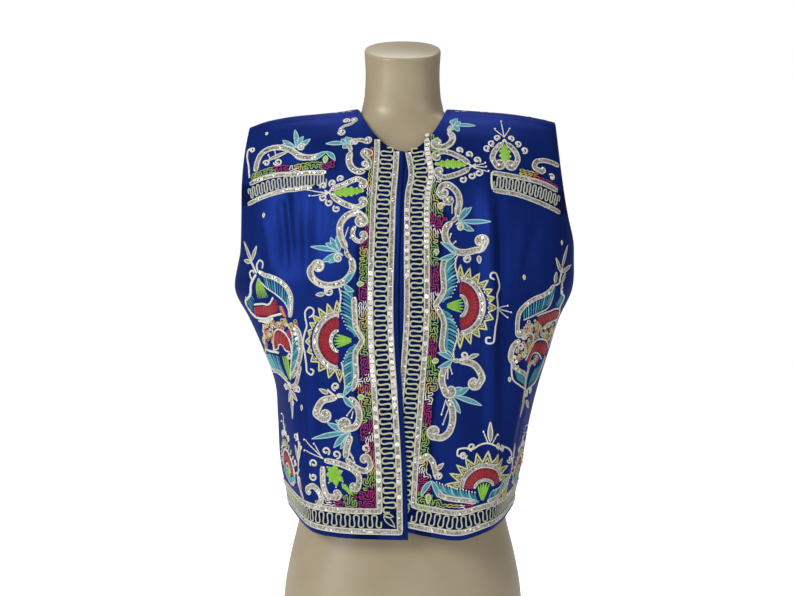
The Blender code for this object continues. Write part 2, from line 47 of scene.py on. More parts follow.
worn = {
    "shoulderHeight": 0.760,   # of the shoulder seam beside the neck
    "hemDrop": 0.591,
    "hemSideRise": 0.015,      # the hem climbs by this much at the side seams
    "slopeFade": 0.45,         # length down which the shoulder slope dies out
    "step": 0.002,             # spacing of the worked-out surface
    "reach": 0.360,            # of the worked-out surface to either side
    "sectionPoints": 160,
    "seamShare": 0.4,          # the side seam lies back by no more than this share of the depth
    "underarmDrop": {-1: 0.226, 1: 0.208},     # where the armhole meets the side seam
    "underarmRound": 0.050,
}

# drop below the shoulder seam, depth of the front, depth of the back
profile = np.array((
    (0.000, 0.000, 0.000), (0.004, 0.022, 0.022), (0.016, 0.044, 0.044), (0.038, 0.066, 0.064),
    (0.075, 0.088, 0.083), (0.120, 0.105, 0.097), (0.170, 0.116, 0.105), (0.230, 0.123, 0.109),
    (0.300, 0.127, 0.109), (0.400, 0.129, 0.108), (0.500, 0.130, 0.112), (0.620, 0.131, 0.118)))

# drop, half width at -X and at +X, how far back the side seam lies, then for the front and for the
# back how far out the corner lies as a share of the half width, and how square that corner is
section = np.array((
    (0.000, 0.232, 0.232, 0.000, 0.90, 1.0, 0.90, 1.0), (0.060, 0.240, 0.240, 0.000, 0.92, 1.1, 0.92, 1.1),
    (0.150, 0.240, 0.245, 0.000, 0.93, 1.2, 0.93, 1.2), (0.205, 0.236, 0.247, 0.002, 0.93, 1.2, 0.95, 1.2),
    (0.260, 0.241, 0.244, 0.005, 0.92, 1.3, 0.97, 1.2), (0.300, 0.222, 0.227, 0.010, 0.91, 1.5, 0.98, 1.3),
    (0.350, 0.202, 0.213, 0.018, 0.89, 1.8, 0.99, 1.4), (0.400, 0.186, 0.199, 0.026, 0.86, 2.2, 1.00, 1.5),
    (0.450, 0.183, 0.188, 0.034, 0.82, 2.8, 1.02, 1.6), (0.520, 0.180, 0.177, 0.042, 0.77, 3.6, 1.04, 1.6),
    (0.580, 0.170, 0.166, 0.046, 0.74, 4.5, 1.05, 1.6), (0.620, 0.166, 0.162, 0.048, 0.73, 4.5, 1.05, 1.6)))

# distance from the centre, fall of the shoulder seam at -X and at +X
shoulderSlope = np.array((
    (0.000, 0.0000, 0.0000), (0.064, 0.0000, 0.0000), (0.090, 0.0040, 0.0020), (0.120, 0.0070, 0.0040),
    (0.166, 0.0120, 0.0085), (0.200, 0.0195, 0.0145), (0.219, 0.0265, 0.0190), (0.250, 0.0360, 0.0270)))

# drop, distance of the armhole edge from the centre at -X and at +X
armhole = np.array((
    (0.000, 0.2190, 0.2188), (0.058, 0.2246, 0.2210), (0.095, 0.2264, 0.2240), (0.149, 0.2264, 0.2325),
    (0.184, 0.2280, 0.2430), (0.206, 0.2300, 0.2500), (0.226, 0.2400, 0.2500)))

# drop, place across of the edge of the wearer's right front and of the left front under it
frontEdgeTable = np.array((
    (0.070, 0.0020, -0.0035), (0.105, 0.0000, 0.0010), (0.130, -0.0020, -0.0035), (0.183, -0.0040, -0.0050),
    (0.310, -0.0060, -0.0060), (0.404, -0.0006, -0.0130), (0.506, 0.0050, -0.0210), (0.592, 0.0067, -0.0250)))

# distance from the centre, length added at the hem of the right front and of the left front
frontHemTable = np.array((
    (0.000, 0.000, -0.011), (0.040, 0.000, -0.002), (0.075, 0.001, 0.004), (0.110, 0.001, -0.001),
    (0.200, 0.000, 0.000), (0.330, 0.000, 0.000)))

# The soft folds, then the finer creases: face, across at the top and at the bottom, down at both ends, half
# width, rise
folds = (("front", -0.150, -0.146, 0.100, 0.300, 0.016, -0.0050),
    ("front", -0.118, -0.112, 0.120, 0.290, 0.012, -0.0035), ("front", -0.123, -0.125, 0.340, 0.560, 0.014, 0.0045),
    ("front", 0.114, 0.118, 0.110, 0.620, 0.013, 0.0050), ("front", 0.092, 0.098, 0.150, 0.380, 0.015, -0.0045),
    ("front", -0.215, -0.185, 0.300, 0.420, 0.014, -0.0055), ("front", 0.205, 0.190, 0.330, 0.470, 0.015, -0.0050),
    ("back", -0.120, -0.105, 0.130, 0.500, 0.020, -0.0060), ("back", 0.095, 0.110, 0.110, 0.420, 0.018, -0.0055),
    ("back", -0.035, -0.020, 0.280, 0.640, 0.022, 0.0060), ("back", 0.040, 0.050, 0.330, 0.640, 0.020, -0.0055),
    ("back", 0.170, 0.160, 0.250, 0.600, 0.018, 0.0050), ("back", -0.190, -0.175, 0.330, 0.620, 0.018, 0.0050),
    ("front", -0.172, -0.160, 0.165, 0.300, 0.007, -0.0032), ("front", -0.160, -0.150, 0.160, 0.290, 0.005, 0.0024),
    ("front", -0.134, -0.128, 0.195, 0.330, 0.006, 0.0020), ("front", -0.199, -0.178, 0.200, 0.300, 0.009, 0.0022),
    ("front", -0.100, -0.108, 0.170, 0.260, 0.007, 0.0014), ("front", -0.150, -0.138, 0.430, 0.560, 0.009, -0.0022),
    ("front", -0.205, -0.196, 0.240, 0.330, 0.008, -0.0024), ("front", 0.132, 0.138, 0.150, 0.600, 0.009, -0.0042),
    ("front", 0.117, 0.122, 0.120, 0.620, 0.005, 0.0022), ("front", 0.104, 0.108, 0.190, 0.600, 0.006, -0.0016),
    ("front", 0.160, 0.150, 0.200, 0.330, 0.009, 0.0018), ("front", 0.186, 0.166, 0.210, 0.300, 0.008, -0.0020),
    ("front", 0.168, 0.158, 0.430, 0.610, 0.009, 0.0024), ("front", 0.148, 0.142, 0.430, 0.600, 0.007, -0.0020),
    ("front", 0.000, -0.006, 0.170, 0.240, 0.006, 0.0012), ("front", 0.196, 0.182, 0.470, 0.560, 0.008, -0.0018),
    ("back", -0.150, -0.138, 0.200, 0.380, 0.010, 0.0026), ("back", 0.130, 0.142, 0.180, 0.350, 0.010, 0.0024),
    ("back", -0.070, -0.060, 0.360, 0.620, 0.011, -0.0026), ("back", 0.008, 0.016, 0.420, 0.640, 0.010, 0.0024),
    ("back", 0.092, 0.100, 0.430, 0.630, 0.010, 0.0022), ("back", -0.235, -0.215, 0.250, 0.400, 0.010, -0.0026),
    ("back", 0.228, 0.210, 0.240, 0.380, 0.010, -0.0024))


def readTable(table, column, at):
    # A table's column at the given places: a smooth cubic between its rows.
    knots = table[:, 0]
    values = table[:, column]
    slopes = np.gradient(values, knots)
    at = np.clip(at, knots[0], knots[-1])
    row = np.clip(np.searchsorted(knots, at) - 1, 0, len(knots) - 2)
    span = knots[row + 1] - knots[row]
    t = (at - knots[row]) / span
    start = (1 + 2 * t) * (1 - t) ** 2 * values[row] + t * (1 - t) ** 2 * span * slopes[row]
    return start + t * t * (3 - 2 * t) * values[row + 1] + t * t * (t - 1) * span * slopes[row + 1]


def smoothstep(low, high, value):
    t = np.clip((value - low) / (high - low), 0, 1)
    return t * t * (3 - 2 * t)


def unit(vectors):
    return vectors / np.maximum(np.linalg.norm(vectors, axis=-1, keepdims=True), 1e-12)


def bilinear(grid, i, j):
    # Reads a grid of vectors at fractional rows and columns.
    i = np.clip(i, 0, grid.shape[0] - 1.001)
    j = np.clip(j, 0, grid.shape[1] - 1.001)
    row = i.astype(int)
    column = j.astype(int)
    a = (i - row)[..., None]
    b = (j - column)[..., None]
    top = grid[row, column] * (1 - b) + grid[row, column + 1] * b
    return top * (1 - a) + (grid[row + 1, column] * (1 - b) + grid[row + 1, column + 1] * b) * a


def profileByLength(column):
    # The centre profile as rows of cloth length, drop and depth.
    fine = np.linspace(0, 1, 400) ** 2 * profile[-1, 0]
    first = np.linspace(0, profile[1, column], 12)[:-1]
    head = np.stack((profile[1, 0] * (first / profile[1, column]) ** 2, first), axis=1)
    body = np.stack((fine, readTable(profile, column, fine)), axis=1)[fine >= profile[1, 0]]
    line = np.concatenate((head, body))
    length = np.concatenate(([0], np.cumsum(np.linalg.norm(np.diff(line, axis=0), axis=1))))
    return np.column_stack((length, line))


def conic(start, corner, end, weight, t):
    # A rational curve from start to end that leaves and arrives along the corner's two sides.
    near, middle, far = (1 - t) ** 2, 2 * weight * t * (1 - t), t * t
    return (near * start + middle * corner + far * end) / (near + middle + far)


def makeFace(front):
    # The front or the back of the worn surface: each section is a conic from the centre line to the side
    # seam, read at equal lengths of cloth, and hung at the height of its own drop.
    byLength = profileByLength(1 if front else 2)
    downs = np.arange(0, byLength[-1, 0], worn["step"])
    acrosses = np.arange(-worn["reach"], worn["reach"] + worn["step"] / 2, worn["step"])
    drop = np.interp(downs, byLength[:, 0], byLength[:, 1])
    depth = np.interp(downs, byLength[:, 0], byLength[:, 2])
    face = {"front": front, "downs": downs, "drops": drop, "side": {}}
    halves = {}
    for sign in (-1, 1):
        half = readTable(section, 1 if sign < 0 else 2, drop)
        share = readTable(section, 4 if front else 6, drop)
        weight = readTable(section, 5 if front else 7, drop)[:, None]
        flat = (-1 if front else 1) * depth
        seam = np.minimum(readTable(section, 3, drop), worn["seamShare"] * depth)
        t = np.linspace(0, 1, worn["sectionPoints"])[None]
        x = conic(0 * half[:, None], (share * half)[:, None], half[:, None], weight, t)
        y = conic(flat[:, None], flat[:, None], seam[:, None], weight, t)
        length = np.cumsum(np.hypot(np.diff(x, prepend=x[:, :1]), np.diff(y, prepend=y[:, :1])), axis=1)
        face["side"][sign] = length[:, -1]
        wanted = acrosses[acrosses >= -worn["step"] / 2]
        rows = []
        for row in range(len(drop)):
            past = np.maximum(wanted - length[row, -1], 0)
            run = unit(np.array((x[row, -1] - x[row, -3], y[row, -1] - y[row, -3])))
            px = np.interp(wanted, length[row], x[row]) + past * run[0]
            py = np.interp(wanted, length[row], y[row]) + past * run[1]
            rise = readTable(shoulderSlope, 1 if sign < 0 else 2, px)
            fade = np.clip(1 - downs[row] / worn["slopeFade"], 0, 1) ** 2
            lift = worn["hemSideRise"] * (px / half[row]) ** 2 * (drop[row] / worn["hemDrop"]) ** 3
            rows.append(np.column_stack((sign * px, py, worn["shoulderHeight"] - drop[row] - rise * fade + lift)))
        halves[sign] = np.array(rows)
    face["grid"] = np.concatenate((halves[-1][:, :0:-1], halves[1]), axis=1)[:, :len(acrosses)]
    face["acrosses"] = acrosses
    return face


def readGrid(grid, across, down):
    return bilinear(grid, down / worn["step"], (across + worn["reach"]) / worn["step"])


def armholeAt(face, sign, down):
    # Length across to the armhole edge, which turns out to the side seam at the underarm.
    drop = np.interp(down, face["downs"], face["drops"])
    edgeX = readTable(armhole, 1 if sign < 0 else 2, drop)
    side = np.interp(down, face["downs"], face["side"][sign])
    low, high = np.zeros_like(down), side.copy()
    for _ in range(24):
        middle = (low + high) / 2
        inside = np.abs(readGrid(face["grid"], sign * middle, down)[..., 0]) < edgeX
        low = np.where(inside, middle, low)
        high = np.where(inside, high, middle)
    lowest = worn["underarmDrop"][sign]
    above = np.clip((lowest - drop) / worn["underarmRound"], 0, 1)
    turn = np.sqrt(1 - (1 - above) ** 2)
    return np.where(drop >= lowest, side, side + (low - side) * turn)


# Cloth

cloth = {
    "thickness": 0.0012,
    "seamGap": 0.0004,             # between a panel's edge and the seams at the shoulder and the armhole
    "neckHalfWidth": 0.064,
    "neckLength": {"front": 0.118, "back": 0.064},
    "neckRound": {"front": 1.85, "back": 2.5},
    "underlapSink": 0.0021,        # how far the left front passes under the right one
    "underlapFade": (0.008, 0.080),
    "frontGrid": (104, 210),       # columns and rows
    "backGrid": (150, 180),
    "pressed": {"front": 0.58, "back": 0.55},      # painted shade: how much darker the satin is painted under close cords
}


def foldRise(faceName, across, down):
    # Height of the folds and creases: a bell across each one that fades in and out along it.
    rise = np.zeros_like(across)
    for face, top, bottom, start, end, half, height in folds:
        if face == faceName:
            along = (down - start) / (end - start)
            middle = top + (bottom - top) * np.clip(along, 0, 1)
            fade = smoothstep(0, 0.25, along) * (1 - smoothstep(0.75, 1.0, along))
            rise += height * fade * np.exp(-((across - middle) / half) ** 2)
    return rise


def surfaceNormals(grid, front):
    # Outward normals of a grid of points, from its differences along and across.
    normal = np.cross(np.gradient(grid, axis=0), np.gradient(grid, axis=1))
    return unit(normal if front else -normal)


def makePanel(face, name, sink=None):
    # The face with its folds on it, ready to be read at any place.
    across, down = np.meshgrid(face["acrosses"], face["downs"])
    rise = foldRise("front" if face["front"] else "back", across, down)
    if sink is not None:
        rise = rise - sink(across)
    grid = face["grid"] + surfaceNormals(face["grid"], face["front"]) * rise[..., None]
    return {"name": name, "face": face, "grid": grid, "normals": surfaceNormals(grid, face["front"])}


def neckline(side):
    # Top edge of a panel: a round neck in the middle and the shoulder seam outside it.
    def top(across):
        share = np.clip(np.abs(across) / cloth["neckHalfWidth"], 0, 1)
        power = cloth["neckRound"][side]
        return np.maximum(cloth["neckLength"][side] * (1 - share ** power) ** (1 / power), cloth["seamGap"])
    return top


def downAt(face, drop):
    return np.interp(drop, face["drops"], face["downs"])


def openingEdge(face, sign, down):
    # Place across of a front's opening edge.
    return readTable(frontEdgeTable, 1 if sign < 0 else 2, np.interp(down, face["downs"], face["drops"]))


def frontHem(face, sign, across):
    return downAt(face, worn["hemDrop"]) + readTable(frontHemTable, 1 if sign < 0 else 2, np.abs(across))


def cutGrid(left, right, top, hem, size):
    # Across and down of a panel's own grid of columns and rows: each column keeps its share of the width,
    # and runs from where it meets the top edge to where it meets the hem.
    columns, rows = (np.linspace(0, 1, count) for count in size)
    ends = []
    for edge in (top, hem):
        down = edge(0 * columns)
        for _ in range(24):
            down = (down + edge(left(down) + (right(down) - left(down)) * columns)) / 2
        ends.append(down)
    down = ends[0] + (ends[1] - ends[0]) * rows[:, None]
    return left(down) + (right(down) - left(down)) * columns, down


collection = bpy.data.collections.new("embroideredVest")
bpy.context.scene.collection.children.link(collection)


def addMesh(name, points, faces, material, uv=None, colours=None):
    # A mesh object from points and lists of faces; uv and colours are given for each point.
    mesh = bpy.data.meshes.new(name)
    mesh.from_pydata(points.reshape(-1, 3).tolist(), [], faces)
    corner = np.empty(len(mesh.loops), dtype=np.int32)
    mesh.loops.foreach_get("vertex_index", corner)
    if uv is not None:
        layer = mesh.uv_layers.new(name="UVMap")
        layer.data.foreach_set("uv", uv.reshape(-1, 2)[corner].astype(np.float32).ravel())
    if colours is not None:
        attribute = mesh.color_attributes.new(name="thread", type="FLOAT_COLOR", domain="POINT")
        attribute.data.foreach_set("color", colours.reshape(-1, 4).astype(np.float32).ravel())
    mesh.shade_smooth()
    mesh.materials.append(material)
    made = bpy.data.objects.new(name, mesh)
    collection.objects.link(made)
    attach(made, "root")
    return made


def gridFaces(rows, columns):
    index = np.arange(rows * columns).reshape(rows, columns)
    return np.stack((index[:-1, :-1], index[1:, :-1], index[1:, 1:], index[:-1, 1:]), axis=-1).reshape(-1, 4)


def addCloth(panel, node, across, down, material):
    # A panel as a thin shell: its grid of points with a wall put on it inwards.
    points = readGrid(panel["grid"], across, down)
    if not panel["face"]["front"]:
        points, across, down = points[:, ::-1], across[:, ::-1], down[:, ::-1]
    uv = np.stack((across, down), axis=-1)
    made = addMesh(panel["name"], points, gridFaces(*across.shape).tolist(), material, uv)
    wall = made.modifiers.new("wall", "SOLIDIFY")
    wall.thickness = cloth["thickness"]
    wall.offset = -1
    wall.use_even_offset = False
    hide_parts(node)
    area = float(np.sum(np.abs(np.diff(across, axis=1)[:-1] * np.diff(down, axis=0)[:, :-1])))
    flat = (round(float(np.ptp(across)), 3), round(float(np.ptp(down)), 3))
    return made, flat, min(area, flat[0] * flat[1])


# Materials

colours = {
    "satin": (0.0060, 0.0180, 0.1500), "cord": (0.430, 0.440, 0.280), "pale": (0.600, 0.590, 0.520),
    "silver": (0.520, 0.490, 0.420), "teal": (0.045, 0.270, 0.340), "ice": (0.200, 0.500, 0.560),
    "lime": (0.230, 0.500, 0.035), "red": (0.380, 0.005, 0.015), "magenta": (0.340, 0.014, 0.110),
    "yellow": (0.560, 0.470, 0.110), "orange": (0.560, 0.110, 0.040), "white": (0.720, 0.720, 0.690),
    "chestCord": (0.380, 0.400, 0.330), "sprig": (0.290, 0.430, 0.090), "form": (0.270, 0.220, 0.145),
    "floor": (0.860, 0.855, 0.845), "notch": (0.012, 0.020, 0.120), "iceEdge": (0.360, 0.520, 0.540),
    "redDeep": (0.220, 0.003, 0.012), "ray": (0.560, 0.540, 0.240), "rayInner": (0.400, 0.420, 0.130),
    "tealDeep": (0.030, 0.200, 0.270), "braidFill": (0.260, 0.240, 0.200), "olive": (0.170, 0.230, 0.060),
    "satinDull": (0.0030, 0.0098, 0.0790), "satinPale": (0.0053, 0.0172, 0.1280),
    "satinSlub": (0.011, 0.033, 0.200), "formDark": (0.255, 0.208, 0.132), "formPale": (0.300, 0.250, 0.165),
}


finish = {
    "floats": 9000.0, "picks": 5200.0,          # radians a metre, across and down
    "slubs": (900, 60, 1), "streaks": (26, 7, 1),
    "sequinPitch": 0.0023, "sequinGap": 0.16, "braidEdge": 0.60,   # metres, share of it, share across
    "twist": 5200.0, "ply": 4600.0, "rows": 2400.0,
    "scratches": 900.0, "mottle": 9.0, "pores": 700.0,
}


def newMaterial(name, colour, roughness, **sockets):
    made = bpy.data.materials.new(name)
    made.use_nodes = True
    shader = made.node_tree.nodes["Principled BSDF"]
    shader.inputs["Base Color"].default_value = (*colour, 1)
    shader.inputs["Roughness"].default_value = roughness
    for socket, value in sockets.items():
        shader.inputs[socket.replace("_", " ")].default_value = value
    return made, made.node_tree, shader


def addNode(tree, kind, inputs=(), **settings):
    # A node with its settings made and its inputs set or linked.
    node = tree.nodes.new(kind)
    for name, value in settings.items():
        setattr(node, name, value)
    for name, value in dict(inputs).items():
        if isinstance(value, bpy.types.NodeSocket):
            tree.links.new(value, node.inputs[name])
        else:
            node.inputs[name].default_value = value
    return node


def maths(tree, operation, a, b=0.0):
    return addNode(tree, "ShaderNodeMath", {0: a, 1: b}, operation=operation).outputs[0]


def times(tree, a, b):
    return maths(tree, "MULTIPLY", a, b)


def mixColour(tree, factor, a, b, blend="MIX"):
    node = addNode(tree, "ShaderNodeMix", {"Factor": factor}, data_type="RGBA", blend_type=blend)
    for socket, value in ((node.inputs[6], a), (node.inputs[7], b)):
        if isinstance(value, bpy.types.NodeSocket):
            tree.links.new(value, socket)
        else:
            socket.default_value = (*value, 1)
    return node.outputs[2]


def feed(tree, shader, socket, value):
    tree.links.new(value, shader.inputs[socket])


def addBump(tree, shader, height, strength, distance):
    bump = addNode(tree, "ShaderNodeBump", {"Height": height, "Strength": strength, "Distance": distance})
    feed(tree, shader, "Normal", bump.outputs[0])


def uvParts(tree):
    # A piece's UV and its two parts, which are the length in metres along it and the share across it.
    uv = addNode(tree, "ShaderNodeTexCoord").outputs["UV"]
    parts = addNode(tree, "ShaderNodeSeparateXYZ", {0: uv})
    return uv, parts.outputs[0], parts.outputs[1]


def threadColour(tree):
    return addNode(tree, "ShaderNodeAttribute", attribute_name="thread").outputs["Color"]


def noise(tree, vector, scale, detail):
    return addNode(tree, "ShaderNodeTexNoise", {"Vector": vector, "Scale": scale, "Detail": detail}).outputs[0]


def stretched(tree, vector, scale):
    return addNode(tree, "ShaderNodeMapping", {0: vector, 3: scale}).outputs[0]


def ramp(tree, value, start, end, low=0.0, high=1.0):
    # The value as it goes from low to high, turned into a run from start to end.
    return addNode(tree, "ShaderNodeMapRange", {0: value, 1: low, 2: high, 3: start, 4: end}).outputs[0]


def satinMaterial():
    # Satin: long floats running down the cloth, a soft sheen, and long soft streaks a little paler.
    made, tree, shader = newMaterial("satin", colours["satin"], 0.40, Anisotropic=0.45, Sheen_Weight=0.02,
                                     Sheen_Roughness=0.30, Specular_IOR_Level=0.06, Metallic=0.42)
    shader.inputs["Sheen Tint"].default_value = (0.20, 0.35, 1.0, 1)
    shader.inputs["Specular Tint"].default_value = (0.20, 0.36, 1.0, 1)
    uv, across, down = uvParts(tree)
    floats = maths(tree, "SINE", times(tree, across, finish["floats"]))
    picks = maths(tree, "SINE", times(tree, down, finish["picks"]))
    slubs = noise(tree, stretched(tree, uv, finish["slubs"]), 1.0, 3.0)
    streaks = noise(tree, stretched(tree, uv, finish["streaks"]), 1.0, 4.0)
    colour = mixColour(tree, ramp(tree, streaks, 0.0, 1.0, 0.3, 0.7), colours["satinDull"], colours["satinPale"])
    fine = mixColour(tree, times(tree, slubs, 0.25), colour, colours["satinSlub"])
    # the panel's thread colour darkens the satin with painted shade under close cords
    feed(tree, shader, "Base Color", mixColour(tree, 1.0, fine, threadColour(tree), "MULTIPLY"))
    feed(tree, shader, "Roughness", ramp(tree, slubs, 0.34, 0.47))
    weave = maths(tree, "ADD", times(tree, floats, 0.6), times(tree, picks, 0.4))
    height = maths(tree, "ADD", weave, times(tree, slubs, 2.5))
    addBump(tree, shader, height, 0.22, 0.0002)
    return made


def braidMaterial():
    # Silver braid: pale twisted cords along both edges, and between them short flat sequins sewn in a row, each with
    # its own painted glint, a few painted as bright flashes, and a dark gap before the next.
    made, tree, shader = newMaterial("silverBraid", colours["silver"], 0.30, Specular_IOR_Level=0.6)
    along, across = uvParts(tree)[1:]
    away = maths(tree, "ABSOLUTE", across)
    isCord = maths(tree, "GREATER_THAN", away, finish["braidEdge"])
    cell = maths(tree, "DIVIDE", along, finish["sequinPitch"])
    number = maths(tree, "FLOOR", cell)
    inside = maths(tree, "FRACT", cell)
    side = maths(tree, "GREATER_THAN", across, 0.0)
    spark = addNode(tree, "ShaderNodeTexWhiteNoise", {"W": maths(
        tree, "ADD", number, times(tree, side, 0.37))}, noise_dimensions="1D").outputs[0]
    gap = maths(tree, "LESS_THAN", inside, finish["sequinGap"])
    # painted glints: each sequin as bright as its random number, and the brightest few near white
    dull = mixColour(tree, spark, (0.210, 0.198, 0.165), (0.400, 0.382, 0.335))
    paintedGlint = mixColour(tree, maths(tree, "GREATER_THAN", spark, 0.95), dull, (0.800, 0.800, 0.780))
    fill = mixColour(tree, times(tree, gap, 0.75), paintedGlint, (0.055, 0.050, 0.045))
    twist = maths(tree, "SINE", times(tree, along, finish["twist"]))
    cord = mixColour(tree, maths(tree, "MULTIPLY_ADD", twist, 0.25), colours["pale"], (0.360, 0.350, 0.290))
    feed(tree, shader, "Base Color", mixColour(tree, isCord, fill, cord))
    feed(tree, shader, "Metallic", times(tree, maths(tree, "SUBTRACT", 1.0, isCord), 0.35))
    rough = maths(tree, "ADD", times(tree, isCord, 0.30), times(tree, spark, 0.22))
    feed(tree, shader, "Roughness", maths(tree, "ADD", rough, 0.16))
    addBump(tree, shader, maths(tree, "SUBTRACT", times(tree, twist, 0.3), gap), 0.6, 0.0004)
    return made


def threadMaterial():
    # Laid thread in the piece's own colour: twisted plies along a cord with painted shade in the grooves between them,
    # and a dull sheen.
    made, tree, shader = newMaterial("thread", colours["pale"], 0.50, Sheen_Weight=0.08, Specular_IOR_Level=0.30)
    along, across = uvParts(tree)[1:]
    own = threadColour(tree)
    ply = maths(tree, "SINE", maths(tree, "ADD", times(tree, along, finish["ply"]),
                                    times(tree, across, 2.2)))
    # painted shade: darker where the ply dips into its groove
    shade = ramp(tree, ply, 0.35, 0.0, -1.0, 1.0)
    dark = mixColour(tree, 1.0, own, (0.42, 0.40, 0.38), "MULTIPLY")
    feed(tree, shader, "Base Color", mixColour(tree, shade, own, dark))
    addBump(tree, shader, ply, 0.5, 0.0003)
    return made


def stitchMaterial():
    # Satin stitch: flat threads laid side by side across the shape, some a little darker.
    made, tree, shader = newMaterial("stitch", colours["teal"], 0.42, Sheen_Weight=0.06, Specular_IOR_Level=0.28)
    along, own = uvParts(tree)[1], threadColour(tree)
    row = times(tree, along, finish["rows"])
    uneven = addNode(tree, "ShaderNodeTexWhiteNoise", {"W": maths(tree, "FLOOR", row)}, noise_dimensions="1D")
    dark = mixColour(tree, 1.0, own, (0.50, 0.48, 0.50), "MULTIPLY")
    shade = times(tree, uneven.outputs[0], 0.75)
    feed(tree, shader, "Base Color", mixColour(tree, shade, own, dark))
    ridge = maths(tree, "SINE", times(tree, row, 2 * math.pi))
    addBump(tree, shader, ridge, 0.45, 0.0003)
    return made


def glitterMaterial(name, roughness, metal):
    # Sequins and beads: each one bright or dull by its own colour, which on the sequins is painted glint, with a fine
    # scratched face.
    made, tree, shader = newMaterial(name, colours["white"], roughness, Metallic=metal, Coat_Weight=0.3,
                                     Coat_Roughness=0.08)
    at = addNode(tree, "ShaderNodeTexCoord").outputs["Object"]
    own = threadColour(tree)
    grain = noise(tree, at, finish["scratches"], 2.0)
    dark = mixColour(tree, 1.0, own, (0.70, 0.68, 0.64), "MULTIPLY")
    feed(tree, shader, "Base Color", mixColour(tree, grain, own, dark))
    addBump(tree, shader, grain, 0.15, 0.0002)
    return made


def formMaterial():
    # Moulded plastic skin: faint mottling, a soft gloss and a few rubbed patches.
    made, tree, shader = newMaterial("formSkin", colours["form"], 0.36, Specular_IOR_Level=0.45)
    at = addNode(tree, "ShaderNodeTexCoord").outputs["Object"]
    mottle, pores = noise(tree, at, finish["mottle"], 5.0), noise(tree, at, finish["pores"], 2.0)
    shade = ramp(tree, mottle, 0.0, 1.0, 0.35, 0.65)
    feed(tree, shader, "Base Color", mixColour(tree, shade, colours["formDark"], colours["formPale"]))
    feed(tree, shader, "Roughness", ramp(tree, mottle, 0.32, 0.44, 0.3, 0.7))
    addBump(tree, shader, pores, 0.08, 0.0003)
    return made


satin = satinMaterial()
braid = braidMaterial()
thread = threadMaterial()
stitch = stitchMaterial()
sequinFinish = glitterMaterial("sequin", 0.22, 0.9)
beadFinish = glitterMaterial("bead", 0.12, 0.25)
print("materials made")

# The panels and the form

frontFace = makeFace(True)
backFace = makeFace(False)
frontNeck = neckline("front")


def sinkLeft(across):
    # How far the left front lies under the right one near the opening.
    return cloth["underlapSink"] * (1 - smoothstep(*cloth["underlapFade"], across))


def armEdge(face, sign):
    return lambda down: sign * (armholeAt(face, sign, down) - cloth["seamGap"])


def openEdge(sign):
    return lambda down: openingEdge(frontFace, sign, down)


def hemEdge(sign):
    return lambda across: frontHem(frontFace, sign, across)


panels = {
    -1: makePanel(frontFace, "clothFrontRight"),
    1: makePanel(frontFace, "clothFrontLeft", sinkLeft),
    0: makePanel(backFace, "clothBack"),
}
cuts = {
    -1: cutGrid(armEdge(frontFace, -1), openEdge(-1), frontNeck, hemEdge(-1), cloth["frontGrid"]),
    1: cutGrid(openEdge(1), armEdge(frontFace, 1), frontNeck, hemEdge(1), cloth["frontGrid"]),
    0: cutGrid(armEdge(backFace, -1), armEdge(backFace, 1), neckline("back"),
               lambda across: downAt(backFace, worn["hemDrop"]) + 0 * across, cloth["backGrid"]),
}
sheets = {}
for key, node in ((-1, "front_right"), (1, "front_left"), (0, "back")):
    sheets[key] = addCloth(panels[key], node, *cuts[key], satin)
print("cloth made")

# The form: height, half width, depth of the front, depth of the back, how far its middle leans forward,
# and how much that ring tips

formRings = np.array((
    (0.000, 0.160, 0.101, 0.096, 0.000, 0.00), (0.008, 0.166, 0.107, 0.102, 0.000, 0.00),
    (0.070, 0.169, 0.110, 0.105, 0.000, 0.00), (0.120, 0.161, 0.108, 0.103, 0.000, 0.00),
    (0.170, 0.149, 0.104, 0.098, 0.000, 0.00), (0.230, 0.137, 0.098, 0.090, 0.000, 0.00),
    (0.300, 0.124, 0.092, 0.080, 0.000, 0.00), (0.360, 0.121, 0.092, 0.077, 0.000, 0.00),
    (0.430, 0.132, 0.102, 0.085, 0.000, 0.00), (0.500, 0.146, 0.112, 0.093, 0.000, 0.00),
    (0.560, 0.150, 0.105, 0.094, 0.000, 0.00), (0.620, 0.158, 0.090, 0.088, 0.000, 0.00),
    (0.670, 0.166, 0.076, 0.076, 0.000, 0.00), (0.700, 0.163, 0.065, 0.063, 0.000, 0.00),
    (0.722, 0.138, 0.057, 0.051, 0.001, 0.00), (0.738, 0.092, 0.053, 0.0435, 0.001, 0.02),
    (0.750, 0.0645, 0.0515, 0.0425, 0.002, 0.04), (0.766, 0.0570, 0.0510, 0.0450, 0.004, 0.10),
    (0.790, 0.0535, 0.0510, 0.0490, 0.010, 0.22), (0.820, 0.0530, 0.0515, 0.0505, 0.016, 0.34),
    (0.836, 0.0540, 0.0525, 0.0515, 0.0195, 0.43), (0.8395, 0.0540, 0.0525, 0.0515, 0.0205, 0.45),
    (0.8415, 0.0530, 0.0515, 0.0505, 0.0208, 0.46), (0.8425, 0.0508, 0.0494, 0.0484, 0.021, 0.46)))
form = {"roundness": 2.15, "sides": 112, "rings": 150}


